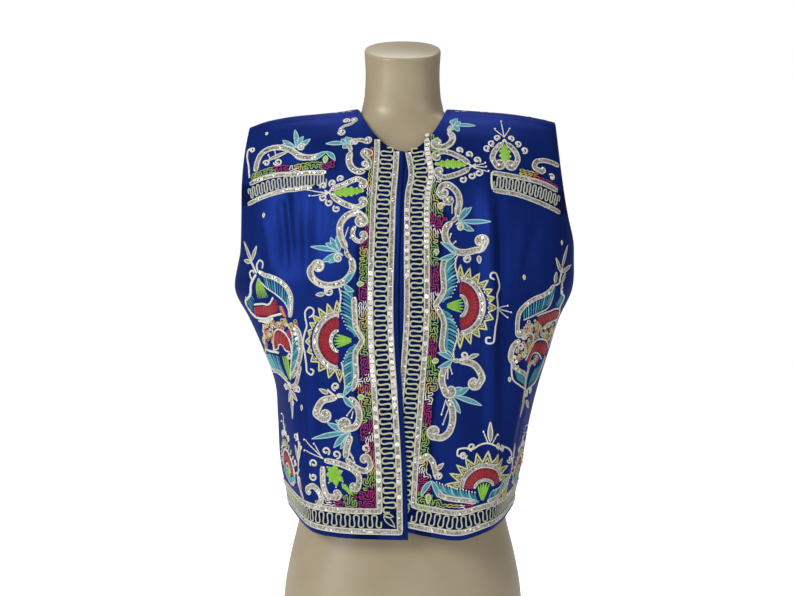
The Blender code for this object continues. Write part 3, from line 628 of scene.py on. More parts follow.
def addForm(material):
    # Rings of a rounded square, |x/a|^n + |y/b|^n = 1, whose sizes are read smoothly from the table, with a
    # flat base and top.
    height = np.unique(np.concatenate((np.linspace(0, formRings[-1, 0], form["rings"]), formRings[-5:, 0])))
    half, front, back, lean, tip = (readTable(formRings, column, height)[:, None] for column in range(1, 6))
    angle = np.linspace(0, 2 * math.pi, form["sides"], endpoint=False)[None]
    power = 2 / form["roundness"]
    x = half * np.sign(np.sin(angle)) * np.abs(np.sin(angle)) ** power
    away = np.sign(np.cos(angle)) * np.abs(np.cos(angle)) ** power
    y = np.where(away > 0, -front * away, -back * away)
    points = np.stack((x, y - lean, height[:, None] + tip * y), axis=-1)
    ring = np.arange(points[..., 0].size).reshape(points.shape[:2])
    after = np.roll(ring, -1, axis=1)
    walls = np.stack((ring[:-1], after[:-1], after[1:], ring[1:]), axis=-1).reshape(-1, 4)
    base = np.column_stack((after[0], ring[0], 0 * ring[0] + ring.size))
    top = np.column_stack((0 * ring[-1] + ring.size + 1, ring[-1], after[-1]))
    allPoints = np.concatenate((points.reshape(-1, 3), points[[0, -1]].mean(axis=1)))
    made = addMesh("dressForm", allPoints, walls.tolist() + base.tolist() + top.tolist(), material)
    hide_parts("dress_form")


addForm(formMaterial())
print("form made")

# Sewn work: lines, ribbons, cords, leaves, beads

sewing = {
    "lineStep": 1.3,          # mm between the sections of a line
    "cordHeight": 0.38,       # of a cord's width
    "cordEnds": (3, 0.8),     # mm over which a cord thins, and the share of its width at its tip
    "outline": 1.5,           # width of the pale cord round a leaf
    "leafStep": 1.6,
    # leaves: width, bend, where they are fullest, lift
    "sprayLeaf": (7.4, 1.2, 1.1, 0.0), "chevronLeaf": (6.0, 1.6, 0.9, 1.0),
    "beadRadius": 1.5,
    "sequinRadius": 1.75,
    "pearlRadius": 1.9, "pearlLift": -0.4,      # of the bead in a spiral's middle
    "curlCord": 2.6, "curlSpread": 1.15,        # of a short spiral, against the radius in the table
    "scrollWidth": 1.58,      # the sewn braid and its two edge cords, against the width in the table
    "ribbonEnds": 5,          # mm over which a ribbon thins
    "sequinStep": 1.7, "sequinShare": 0.55,     # of a sequin's radius, of a ribbon's half width
    # loose sequins: (radius,) lift, lean, and the dullest and brightest of their painted glints
    "ribbonSequins": (1.0, 0.10, 0.30, 0.95),
    "bandSequins": (3.0, 1.2, 0.12, 0.75, 1.0), "sideSequins": (2.2, 1.3, 0.15, 0.6, 1.0),
}
ribbonShape = np.array(((-1, 0), (-0.97, 0.9), (-0.80, 1.35), (-0.64, 0.9), (-0.56, 0.75), (0, 0.9),
                        (0.56, 0.75), (0.64, 0.9), (0.80, 1.35), (0.97, 0.9), (1, 0)))
cordShape = np.array(((-1, 0), (-0.75, 0.75), (0, 1), (0.75, 0.75), (1, 0)))
fillShape = np.array(((-1, 0), (-0.85, 0.55), (0, 0.85), (0.85, 0.55), (1, 0)))
strokeShape = np.array((0.55, 0.9, 1.0, 1.0, 0.8, 0.25))      # width along a stroke
random = np.random.default_rng(7)
sewn = {-1: [], 1: [], 0: []}
sideNames = {-1: "Right", 1: "Left", 0: "Back"}
pale = colours["pale"]


def newBatch():
    return {"points": [], "faces": [], "uv": [], "colours": [], "count": 0}


batches = {side: {kind: newBatch() for kind in ("cord", "fill", "bead", "sequin")} for side in (-1, 1, 0)}


def addToBatch(batch, points, uv, colour):
    # Adds grids of points, shaped (grids, rows, columns, 3). Colour is one for all, one for each grid, or
    # one for each row of each grid.
    grids, rows, columns = points.shape[:3]
    faces = gridFaces(rows, columns)[None] + np.arange(grids)[:, None, None] * rows * columns + batch["count"]
    rgba = np.ones((grids, rows, columns, 4))
    colour = np.asarray(colour, dtype=float)
    rgba[..., :3] = colour[:, :, None] if colour.ndim == 3 else colour.reshape(-1, 1, 1, 3)
    batch["points"].append(points.reshape(-1, 3))
    batch["faces"].append(faces.reshape(-1, 4))
    batch["uv"].append(uv.reshape(-1, 2))
    batch["colours"].append(rgba.reshape(-1, 4))
    batch["count"] += grids * rows * columns


def finishBatch(batch, name, material, side):
    points, faces, uv, shades = (np.concatenate(batch[key]) for key in ("points", "faces", "uv", "colours"))
    made = addMesh(name, points, faces.tolist(), material, uv, shades)
    sewn[side].append(made)
    return made


def lineLength(line):
    return np.concatenate(([0], np.cumsum(np.hypot(*np.diff(line, axis=0).T))))


def alongLine(line, length, at):
    # Places at the given lengths along a line whose points lie at length.
    return np.column_stack([np.interp(at, length, line[:, axis]) for axis in (0, 1)])


def smoothLine(places, step=None):
    # A smooth line through places, with a point every step mm.
    places = np.array(places, dtype=float)
    length = lineLength(places)
    table = np.column_stack((length, places))
    at = np.linspace(0, length[-1], max(3, round(length[-1] / (step or sewing["lineStep"])) + 1))
    return np.column_stack((readTable(table, 1, at), readTable(table, 2, at)))


def curlFrom(start, heading, radius, turns, hand, tight=0.36):
    # A spiral that leaves start along heading (an angle from outwards towards down) and winds in: its
    # radius falls evenly from radius to its tight share. hand 1 turns from outwards to down.
    angle = np.linspace(0, 2 * math.pi * turns, max(8, int(22 * turns)))
    bend = radius * (1 - (1 - tight) * angle / angle[-1])
    heading = heading + hand * angle
    steps = np.column_stack((np.cos(heading), np.sin(heading))) * (bend * np.gradient(angle))[:, None]
    return start + np.cumsum(steps, axis=0)


def withCurls(line, endCurl=None, startCurl=None):
    # The line with a spiral on either end, if any. A curl is its radius in mm, its turns and its hand.
    if endCurl:
        run = line[-1] - line[-2]
        line = np.concatenate((line, curlFrom(line[-1], math.atan2(run[1], run[0]), *endCurl)))
    if startCurl:
        run = line[0] - line[1]
        line = np.concatenate((curlFrom(line[0], math.atan2(run[1], run[0]), *startCurl)[::-1], line))
    return line


def ringLine(centre, radii, turn):
    # An elliptical arc round a centre; 0 degrees points outwards and 90 points down.
    size = abs(turn[1] - turn[0]) * math.pi / 180 * max(radii)
    angle = np.radians(np.linspace(*turn, max(6, round(size / sewing["lineStep"]))))
    return np.column_stack((centre[0] + radii[0] * np.cos(angle), centre[1] + radii[1] * np.sin(angle)))


def placeSewn(side, across, down, lift):
    # Points on a panel for sewn work. What reaches past a front's side seam goes on over the back, by the
    # same length of cloth beyond the seam and at the same drop.
    points, normals = (readGrid(panels[side][key], across, down) for key in ("grid", "normals"))
    if side != 0:
        past = np.abs(across) - np.interp(down, frontFace["downs"], frontFace["side"][side])
        if (past > 0).any():
            backDown = downAt(backFace, np.interp(down, frontFace["downs"], frontFace["drops"]))
            backAcross = side * (np.interp(backDown, backFace["downs"], backFace["side"][side]) - past)
            over = (past > 0)[..., None]
            points = np.where(over, readGrid(panels[0]["grid"], backAcross, backDown), points)
            normals = np.where(over, readGrid(panels[0]["normals"], backAcross, backDown), normals)
    return points + unit(normals) * np.asarray(lift)[..., None], unit(normals)


def addStrips(batch, side, lines, half, shape, colour=(1, 1, 1), height=1.0, lift=0.0):
    # Strips of the given half width along lines of places in mm, with a shape across them: the shape's
    # columns are the share across and the height. Their UV is the length along and the share across.
    lines = lines * np.array((1 if side >= 0 else -1, 1))
    along = unit(np.gradient(lines, axis=1))
    across = np.stack((-along[..., 1], along[..., 0]), axis=-1) * (1 if side == 0 else -1)
    half = np.broadcast_to(half, lines.shape[:2])
    spots = lines[:, :, None] + across[:, :, None] * (half[..., None] * shape[:, 0])[..., None]
    heights = np.broadcast_to(lift + height * shape[:, 1], spots.shape[:3])
    points = placeSewn(side, spots[..., 0] * mm, spots[..., 1] * mm, heights * mm)[0]
    length = np.cumsum(np.linalg.norm(np.diff(lines, axis=1, prepend=lines[:, :1]), axis=-1), axis=1)
    uv = np.stack((np.broadcast_to(length[..., None], spots.shape[:3]) * mm,
                   np.broadcast_to(shape[:, 0], spots.shape[:3])), axis=-1)
    addToBatch(batch, points, uv, colour)


def addFill(side, line, half, colour, height=0.8, lift=0.0, shape=fillShape):
    addStrips(batches[side]["fill"], side, line[None], half, shape, colour, height, lift)


def taper(line, room, end):
    # 1 along a line, falling to end over the last room mm at both ends.
    length = lineLength(line)
    away = np.minimum(length, length[-1] - length)
    return end + (1 - end) * smoothstep(0, min(room, length[-1] / 2), away)


def addCord(side, line, width, colour=pale, lift=0.0, height=None):
    half = width / 2 * taper(line, *sewing["cordEnds"])
    height = width * sewing["cordHeight"] if height is None else height
    addStrips(batches[side]["cord"], side, line[None], half, cordShape, colour, height, lift)


def addLeaf(side, base, tip, width, fill, edge=pale, bend=0.0, fullest=0.8, lift=0.0):
    # A leaf from base to tip: half its width times sin(pi t^fullest), laid with thread and corded round.
    base, tip = np.array(base, dtype=float), np.array(tip, dtype=float)
    reach = np.linalg.norm(tip - base)
    t = np.linspace(0, 1, max(6, round(reach / sewing["leafStep"])))
    aside = np.array((-(tip - base)[1], (tip - base)[0])) / reach
    line = base + (tip - base) * t[:, None] + aside * (bend * np.sin(math.pi * t))[:, None]
    half = width / 2 * np.sin(math.pi * t ** fullest)
    if fill is not None:
        addFill(side, line, np.maximum(half, 0.05), fill, 0.8, lift)
    if edge is not None:
        away = aside * half[:, None]
        for rim in (line + away, line - away):
            addCord(side, rim, sewing["outline"], edge, lift + 0.1)


def discShape():
    # A cupped sequin: a small hole, a raised ring and a low rim, on 10 sides.
    turn = np.linspace(0, 2 * math.pi, 11)
    radius = np.array((0.20, 0.62, 1.0))
    height = np.array((0.10, 0.22, 0.10))
    ring = np.stack((radius[:, None] * np.cos(turn), radius[:, None] * np.sin(turn),
                     np.broadcast_to(height[:, None], (3, 11))), axis=-1)
    return ring[:, ::-1]


def ballShape():
    # A round bead: rings from the foot to the top, on 8 sides.
    rise = np.linspace(-0.42 * math.pi, 0.5 * math.pi, 6)
    turn = np.linspace(0, 2 * math.pi, 9)
    return np.stack((np.cos(rise)[:, None] * np.cos(turn), np.cos(rise)[:, None] * np.sin(turn),
                     np.broadcast_to(0.85 + np.sin(rise)[:, None], (6, 9))), axis=-1)


def addSmall(kind, side, spots, radius, shape, shades, lift, lean=0.0):
    # The same small shape at many places in mm, upright on the cloth or leaning a little at random.
    spots = np.array(spots, dtype=float) * (1 if side >= 0 else -1, 1)
    across, down = spots[:, 0] * mm, spots[:, 1] * mm
    centre, normals = placeSewn(side, across, down, 0 * across + lift * mm)
    up = unit(normals + random.normal(0, lean + 1e-9, (len(spots), 3)))
    right = unit(np.cross(up, (0.3, 0.1, 1.0)))
    ahead = np.cross(up, right)
    local = shape[None] * (np.broadcast_to(radius, len(spots))[:, None, None, None] * mm)
    points = centre[:, None, None]
    for axis, way in enumerate((right, ahead, up)):
        points = points + local[..., axis:axis + 1] * way[:, None, None]
    uv = np.broadcast_to(shape[None, ..., :2], points.shape[:3] + (2,))
    addToBatch(batches[side][kind], points, uv, shades)


def glintTones(count, dull, bright):
    # Painted glint of each of many sequins, given as its brightness: most are middling and a few are very bright.
    value = dull + (bright - dull) * random.random(count) ** 2.2
    return value[:, None] * np.array((1.0, 0.98, 0.92))


def addSequins(side, spots, radius, lift, lean, dull, bright, kind="bead"):
    addSmall(kind, side, spots, radius, discShape(), glintTones(len(spots), dull, bright), lift, lean)


def addBeads(side, spots, radius, lift=0.3):
    addSmall("bead", side, spots, radius, ballShape(), colours["white"], lift)


def addRibbon(name, side, line, width, sequins=0.26, end=0.6):
    # A braid ribbon as an object of its own, with loose sequins sewn along part of it.
    batch = newBatch()
    half = width / 2 * taper(line, sewing["ribbonEnds"], end)
    addStrips(batch, side, line[None], half, ribbonShape)
    made = finishBatch(batch, name, braid, side)
    length = lineLength(line)
    at = np.arange(2.0, length[-1] - 1.5, sewing["sequinRadius"] * sewing["sequinStep"])
    at = at[random.random(len(at)) < sequins]
    if len(at):
        spots = alongLine(line, length, at)
        size = np.minimum(np.interp(at, length, half) * sewing["sequinShare"], sewing["sequinRadius"])
        addSequins(side, spots, size, *sewing["ribbonSequins"], "sequin")
    return made


# Borders: silver bands, the serpentine cord between them, and its loop at each corner

border = {
    "outer": 10.5, "inner": 37.0, "bandWidth": 8.0,        # mm in from the opening edge
    "lower": 10.25, "upper": 37.25, "hemBandWidth": 8.5,    # mm up from the hem
    "cordWidth": 2.25, "cordReach": 8.2, "cordPitch": 12.9, "cordBulge": 1.7, "hemPitch": 12.0,
    "cordHeight": 0.45, "hemCordWidth": 1.9,
    "topRoom": 2.0, "seamGap": 1.2, "cornerRoom": 11, "lowest": 640,
    "edgePoints": 330, "hemPoints": 170, "backPoints": 420,
}


def frontEdgeOut(side, down):
    return side * openingEdge(frontFace, side, np.asarray(down, dtype=float) * mm) / mm


def hemDownOut(side, out):
    return frontHem(frontFace, side, np.asarray(out, dtype=float) * mm) / mm


def borderLine(side, inset, rise):
    # Down a front's opening edge at one inset, round the corner, and along the hem at one rise.
    top = frontNeck(np.array([(inset - border["bandWidth"] / 2) * mm]))[0] / mm + border["topRoom"]
    corner = hemDownOut(side, inset + frontEdgeOut(side, border["lowest"])) - rise
    down = np.linspace(top, corner, border["edgePoints"])
    edge = np.column_stack((frontEdgeOut(side, down) + inset, down))
    seam = np.interp(corner * mm, frontFace["downs"], frontFace["side"][side]) / mm - border["seamGap"]
    out = np.linspace(edge[-1, 0], seam, border["hemPoints"])[1:]
    return np.concatenate((edge, np.column_stack((out, hemDownOut(side, out) - rise))))


def serpentine(centre, reach, pitch, bulge, step=0.9):
    # A cord that swings from side to side of a centre line: its offset is a sine squared off to reach, and
    # it moves on along the line by its pitch each wave, with a bulge that rounds out the turns.
    length = lineLength(centre)
    waves = max(2, round(length[-1] / pitch))
    pitch = length[-1] / waves
    phase = np.linspace(0, 2 * math.pi * waves, int(waves * (4 * reach + pitch) / step))
    at = np.clip(pitch * phase / (2 * math.pi) - bulge * np.sin(2 * phase), 0, length[-1])
    swing = reach * np.tanh(0.8 * np.sin(phase)) / math.tanh(0.8)
    run = unit(alongLine(np.gradient(centre, axis=0), length, at))
    return alongLine(centre, length, at) + np.column_stack((-run[:, 1], run[:, 0])) * swing[:, None]


def addWave(side, line, pitch, width):
    addCord(side, serpentine(line, border["cordReach"], pitch, border["cordBulge"]), width, colours["cord"],
            height=border["cordHeight"])


for side in (-1, 1):
    for level, rise, sequins in (("outer", "lower", 0.16), ("inner", "upper", 0.22)):
        line = borderLine(side, border[level], border[rise])
        band = addRibbon(level + "Band" + sideNames[side], side, line, border["bandWidth"], sequins, 1.0)
        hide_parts("%s_band_%s" % (level, sideNames[side].lower()))
    whole = borderLine(side, (border["outer"] + border["inner"]) / 2, (border["lower"] + border["upper"]) / 2)
    corner = border["edgePoints"] - 1
    x, y = whole[corner]
    addWave(side, whole[:corner][whole[:corner, 1] < y - border["cornerRoom"]], border["cordPitch"],
            border["cordWidth"])
    addWave(side, whole[corner:][whole[corner:, 0] > x + border["cornerRoom"]], border["hemPitch"],
            border["hemCordWidth"])
    addLeaf(side, (x + 8, y - 8), (x - 7, y + 7), 7.0, None, colours["cord"])
    addLeaf(side, (x + 8, y - 9), (x - 5, y - 7), 5.0, None, colours["cord"])

backHem = downAt(backFace, worn["hemDrop"]) / mm


def backLine(rise):
    # Across the back from seam to seam, at one rise above the hem.
    ends = [side * (float(np.interp((backHem - rise) * mm, backFace["downs"], backFace["side"][side])) / mm
                    - border["seamGap"]) for side in (-1, 1)]
    across = np.linspace(*ends, border["backPoints"])
    return np.column_stack((across, 0 * across + backHem - rise))


for level in ("lower", "upper"):
    band = addRibbon("hemBandBack" + level.title(), 0, backLine(border[level]), border["hemBandWidth"], 0.14, 1.0)
    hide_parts("hem_band_%s_back" % level)
addWave(0, backLine((border["lower"] + border["upper"]) / 2), border["hemPitch"], border["hemCordWidth"])
print("borders made")

# Raised scrollwork: name, width, places as (out, down), then the spiral at the end and the one at the
# start, if any, as radius, turns and hand

scrolls = {
    -1: (
        ("chest_band_upper", 4.7, ((104, 147), (150, 145), (190, 147), (221, 152))),
        ("chest_band_lower", 4.4, ((124, 168), (150, 169), (190, 176), (226, 184))),
        ("neck_scroll", 6, ((71, 119), (73, 127), (72, 138), (67, 146), (59, 150), (51, 148))),
        ("drop_upper", 5, ((97, 174), (90, 171), (80, 168), (69, 163), (61, 161), (54, 164)), (4.5, 0.8, -1)),
        ("drop_lower", 5, ((97, 181), (91, 187), (81, 194), (71, 199), (61, 201), (54, 198)), (4.5, 0.8, 1)),
        ("scroll", 6, ((54, 214), (61, 209), (70, 210), (78, 215), (84, 225), (84, 237), (76, 257)), None,
            (6.0, 1.0, -1)),
        ("hook", 6, ((69, 270), (67, 284), (72, 295), (80, 302), (92, 306), (105, 306), (116, 301), (123, 293),
            (124, 285), (119, 278)), (5.5, 1.0, -1)),
        ("sun_frame", 5, ((65, 322), (64, 346), (62, 364), (57, 373), (54, 379), (57, 386), (62, 394), (63, 408),
            (62, 423), (64, 438), (69, 447))),
        ("lower_hook", 6, ((88, 456), (95, 458), (107, 462), (113, 471), (115, 480), (109, 485)), (6.0, 0.9, 1)),
        ("lower_scroll", 6, ((72, 457), (66, 461), (59, 472), (58, 484), (64, 495), (73, 498)), (7.0, 1.0, -1)),
        ("stem", 6, ((69, 507), (73, 518), (76, 537))),
        ("leaf_frame_inner", 5, ((105, 542), (94, 543), (78, 547), (65, 553), (58, 562), (59, 573)), (5.0, 0.8, -1)),
        ("leaf_frame_outer", 5, ((107, 550), (107, 562), (105, 580), (100, 589), (91, 591)), (5.0, 0.8, 1)),
        ("side_frame_upper", 4.2, ((206, 285), (196, 290), (181, 294), (168, 300), (158, 309), (152, 321), (152, 335),
            (154, 350))),
        ("side_frame_lower", 5, ((149, 360), (141, 371), (138, 383), (139, 403), (147, 421), (156, 433))),
        ("side_foot", 4, ((256, 431), (228, 429), (206, 428), (184, 430), (168, 439))),
        ("neckHook", 4, ((51, 147), (45, 142), (46, 134), (51, 128), (55, 122), (51, 117), (46, 119)),
            (3.6, 0.7, -1)),
        ("neckLeaf", 4, ((73, 107), (65, 101), (57, 100), (51, 103)), (4.0, 0.9, 1)),
        ("neckTop", 3, ((66, 62), (72, 68), (80, 70), (86, 75), (87, 82)), (3.4, 1.0, 1), (3.4, 1.0, 1)),
        ("neckStem", 4, ((71, 119), (72, 112), (76, 105))),
        ("hookLink", 4, ((78, 455), (84, 454), (90, 456))),
        ("chestArch", 6, ((210, 134), (207, 118), (200, 105), (185, 99), (168, 101), (154, 108), (146, 115),
            (134, 121), (120, 122), (112, 119))),
        ("innerScroll", 4, ((64, 227), (67, 235), (65, 244), (58, 248), (52, 244)), (4.4, 0.8, 1)),
        ("sideUpperLink", 4, ((76, 257), (75, 264), (69, 270))),
        ("stemFoot", 5, ((75, 537), (68, 545), (60, 550), (50, 553), (43, 546), (45, 538)), (5.0, 0.8, 1)),
        ("hemHook", 5, ((130, 583), (122, 579), (114, 584), (109, 594), (113, 604), (119, 608)), None, (4.0, 0.7, 1)),
        ("footLobe", 4, ((166, 441), (161, 446), (150, 442), (143, 428), (139, 415))),
    ),
    1: (
        ("chest_band_upper", 4.7, ((121, 149), (157, 153), (195, 158), (224, 166))),
        ("chest_band_lower", 4.4, ((121, 175), (150, 178), (190, 188), (229, 199))),
        ("neck_scroll", 6, ((63, 85), (68, 92), (68, 99), (63, 107), (56, 111), (49, 111)), (6.0, 0.8, 1)),
        ("drop_upper", 5, ((90, 137), (84, 131), (74, 125), (63, 120), (53, 119), (46, 122)), (4.5, 0.8, -1)),
        ("drop_lower", 5, ((90, 144), (84, 148), (74, 153), (63, 157), (54, 158), (48, 154)), (4.5, 0.8, 1)),
        ("scroll", 6, ((50, 177), (53, 171), (60, 169), (68, 174), (74, 182), (76, 193), (72, 209)), None,
            (5.0, 0.9, -1)),
        ("hook", 6, ((65, 222), (58, 229), (56, 239), (59, 249), (66, 258), (75, 262), (84, 262), (96, 259),
            (105, 257), (109, 250)), (5.5, 1.0, -1)),
        ("sun_frame", 5, ((61, 269), (55, 275), (53, 284), (54, 300), (54, 314), (49, 324), (44, 333), (49, 342),
            (54, 354), (53, 373), (52, 390), (57, 400))),
        ("lower_hook", 6, ((74, 407), (86, 409), (95, 413), (102, 422), (105, 431), (101, 439)), (6.0, 0.9, 1)),
        ("lower_scroll", 6, ((62, 410), (56, 416), (52, 426), (52, 436), (56, 448)), (6.0, 0.9, -1)),
        ("stem", 6, ((59, 459), (64, 467), (66, 478), (65, 491), (60, 503), (51, 509), (42, 508)), (6.5, 0.9, 1)),
        ("arch_drop_inner", 5, ((138, 99), (131, 107), (125, 117), (123, 127), (127, 136)), (5.6, 1.1, -1)),
        ("arch_drop_outer", 5, ((144, 99), (151, 106), (157, 115), (159, 125), (154, 136)), (5.6, 1.1, 1)),
        ("hem_sun_base", 5, ((44, 577), (51, 586), (65, 591), (82, 594), (97, 598))),
        ("side_frame_upper", 4.2, ((216, 305), (210, 312), (198, 319), (181, 325), (167, 334), (159, 343), (156, 356),
            (156, 370)), (5.0, 0.9, -1)),
        ("side_frame_lower", 5, ((160, 381), (150, 390), (147, 401), (148, 412))),
        ("side_stem", 4, ((200, 414), (188, 420), (182, 432), (181, 456), (177, 470))),
        ("baseRight", 5, ((113, 600), (130, 597), (146, 590), (160, 581), (170, 574))),
        ("chestCurl", 5, ((228, 124), (212, 121), (197, 121), (186, 126), (184, 134), (193, 139)), (4.0, 0.6, -1)),
        ("innerCurl", 4, ((57, 192), (54, 187), (49, 188)), None, (5.0, 0.9, -1)),
        ("cornerCurl", 5, ((45, 564), (42, 550), (38, 539), (31, 533), (26, 538)), (4.0, 0.8, 1)),
        ("hookLink", 4, ((66, 406), (71, 407), (76, 407))),
        ("sprayLink", 4, ((76, 193), (75, 204), (72, 214), (65, 222))),
        ("neckStem", 4, ((63, 85), (65, 78), (70, 71))),
        ("sideTwist", 4, ((148, 408), (153, 418), (162, 424), (172, 428), (180, 434))),
    ),
}
for side, rows in scrolls.items():
    for name, width, places, *curls in rows:
        node = name + "_" + sideNames[side].lower()
        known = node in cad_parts
        words = (name.split("_") if known else [name]) + [sideNames[side]]
        name = words[0] + "".join(word[0].upper() + word[1:] for word in words[1:])
        line = withCurls(smoothLine(places), *curls)
        made = addRibbon(name, side, line, width * sewing["scrollWidth"])
        if known:
            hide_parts(node)
        # a pearl in the middle of each spiral, that at the start first
        pearls = [line[at] for curl, at in list(zip(curls, (-1, 0)))[::-1] if curl]
        if pearls:
            addBeads(side, pearls, sewing["pearlRadius"], sewing["pearlLift"])

# Short spirals sewn on their own: centre, radius, degrees at which it starts, turns, hand
crockets = {
    -1: ((83, 159, 4.3, 60, 1.2, -1), (94, 165, 4.5, 60, 1.2, -1), (107, 168, 4.7, 40, 1.2, -1),
        (107, 183, 4.7, -40, 1.2, 1), (98, 192, 4.7, -60, 1.2, 1), (88, 201, 4.5, -60, 1.2, 1),
        (86, 271, 6, 200, 1.5, 1), (97, 315, 6, 250, 1.4, 1), (53, 139, 5, 90, 1.4, 1), (140, 105, 5.5, 190, 1.5, 1),
        (174, 123, 5.5, 0, 1.4, 1), (192, 125, 4.9, 0, 1.2, -1), (217, 94, 4.5, 0, 1.3, -1),
        (80, 59, 4.9, 120, 1.3, 1), (84, 80, 4.9, 0, 1.2, 1), (66, 104, 4.9, 0, 1.3, -1),
        (104, 530, 4.9, 120, 1.2, 1), (90, 533, 5.1, 90, 1.2, 1), (119, 549, 5.1, 40, 1.2, -1),
        (120, 565, 5.1, -40, 1.2, 1), (51, 523, 5, 80, 1.3, 1), (88, 442, 5, 90, 1.3, -1), (147, 447, 4.5, 0, 1.2, 1),
        (178, 446, 4.5, 180, 1.2, -1)),
    1: ((76, 116, 4.3, 60, 1.2, -1), (89, 122, 4.5, 60, 1.2, -1), (100, 131, 4.7, 50, 1.2, -1),
        (80, 160, 4.3, -60, 1.2, 1), (92, 154, 4.5, -60, 1.2, 1), (102, 149, 4.7, -50, 1.2, 1),
        (133, 90, 4.5, 90, 1.2, 1), (149, 89, 4.5, 90, 1.2, -1), (124, 100, 4.7, 60, 1.2, 1),
        (159, 97, 4.7, 120, 1.2, -1), (117, 109, 4.5, 60, 1.2, 1), (168, 107, 4.9, 120, 1.2, -1),
        (76, 229, 5.2, 200, 1.4, 1), (84, 271, 5.6, 250, 1.4, 1), (51, 201, 4.6, 0, 1.3, -1),
        (80, 400, 4.6, 100, 1.3, -1), (48, 558, 4.4, 200, 1.3, -1), (213, 147, 4.9, 200, 1.2, 1),
        (93, 523, 4.5, 90, 1.2, 1), (80, 532, 4.4, 0, 1.3, 1), (126, 525, 4.5, 90, 1.2, -1),
        (138, 530, 4.7, 90, 1.2, -1), (158, 546, 5.1, 180, 1.3, -1), (191, 456, 4.9, 180, 1.3, -1)),
}


def addCurl(side, x, y, radius, start, turns, hand):
    # A short spiral round a place, from its rim inwards.
    angle = math.radians(start)
    rim = np.array((x + radius * math.cos(angle), y + radius * math.sin(angle)))
    addCord(side, curlFrom(rim, angle + hand * math.pi / 2, radius, turns, hand, 0.25), sewing["curlCord"])


for side, rows in crockets.items():
    for x, y, radius, *turning in rows:
        addCurl(side, x, y, radius * sewing["curlSpread"], *turning)
    addBeads(side, [row[:2] for row in rows], 1.35)

# Small curls that join two scrolls: width, places
joins = {
    -1: ((3.0, ((222, 142), (224, 120), (227, 100), (224, 89), (217, 88))),
        (3.0, ((106, 174), (100, 178), (97, 174))), (3.0, ((106, 182), (100, 178), (97, 181))),
        (3.0, ((90, 455), (97, 450), (101, 446))), (2.6, ((105, 306), (103, 312), (100, 316)))),
    1: ((3.0, ((138, 99), (141, 93), (144, 99))), (3.0, ((99, 137), (94, 140), (90, 137))),
        (3.0, ((99, 143), (94, 140), (90, 144))), (3.0, ((76, 407), (83, 405), (88, 402))),
        (2.6, ((88, 262), (86, 267), (84, 271)))),
}
for side, rows in joins.items():
    for width, places in rows:
        addCord(side, smoothLine(places, 1.0), width)

# Stretches of the bands where large sequins are sewn, painted bright as glints: inset, from down, to down, spacing
brightRuns = {
    -1: ((37.0, 292, 444, 6.4), (10.5, 336, 470, 8.0), (37.0, 470, 580, 12.0), (10.5, 500, 600, 17.0)),
    1: ((37.0, 92, 262, 7.4), (10.5, 205, 300, 11.0), (37.0, 300, 420, 21.0)),
}
for side, rows in brightRuns.items():
    for inset, start, end, spacing in rows:
        down = np.arange(start, end, spacing)
        down = down + random.normal(0, 0.6, len(down))
        addSequins(side, np.column_stack((frontEdgeOut(side, down) + inset, down)), *sewing["bandSequins"])
print("scrolls made")

# Vermicelli: close curling cord on the dark ground beside the inner bands and over the chest

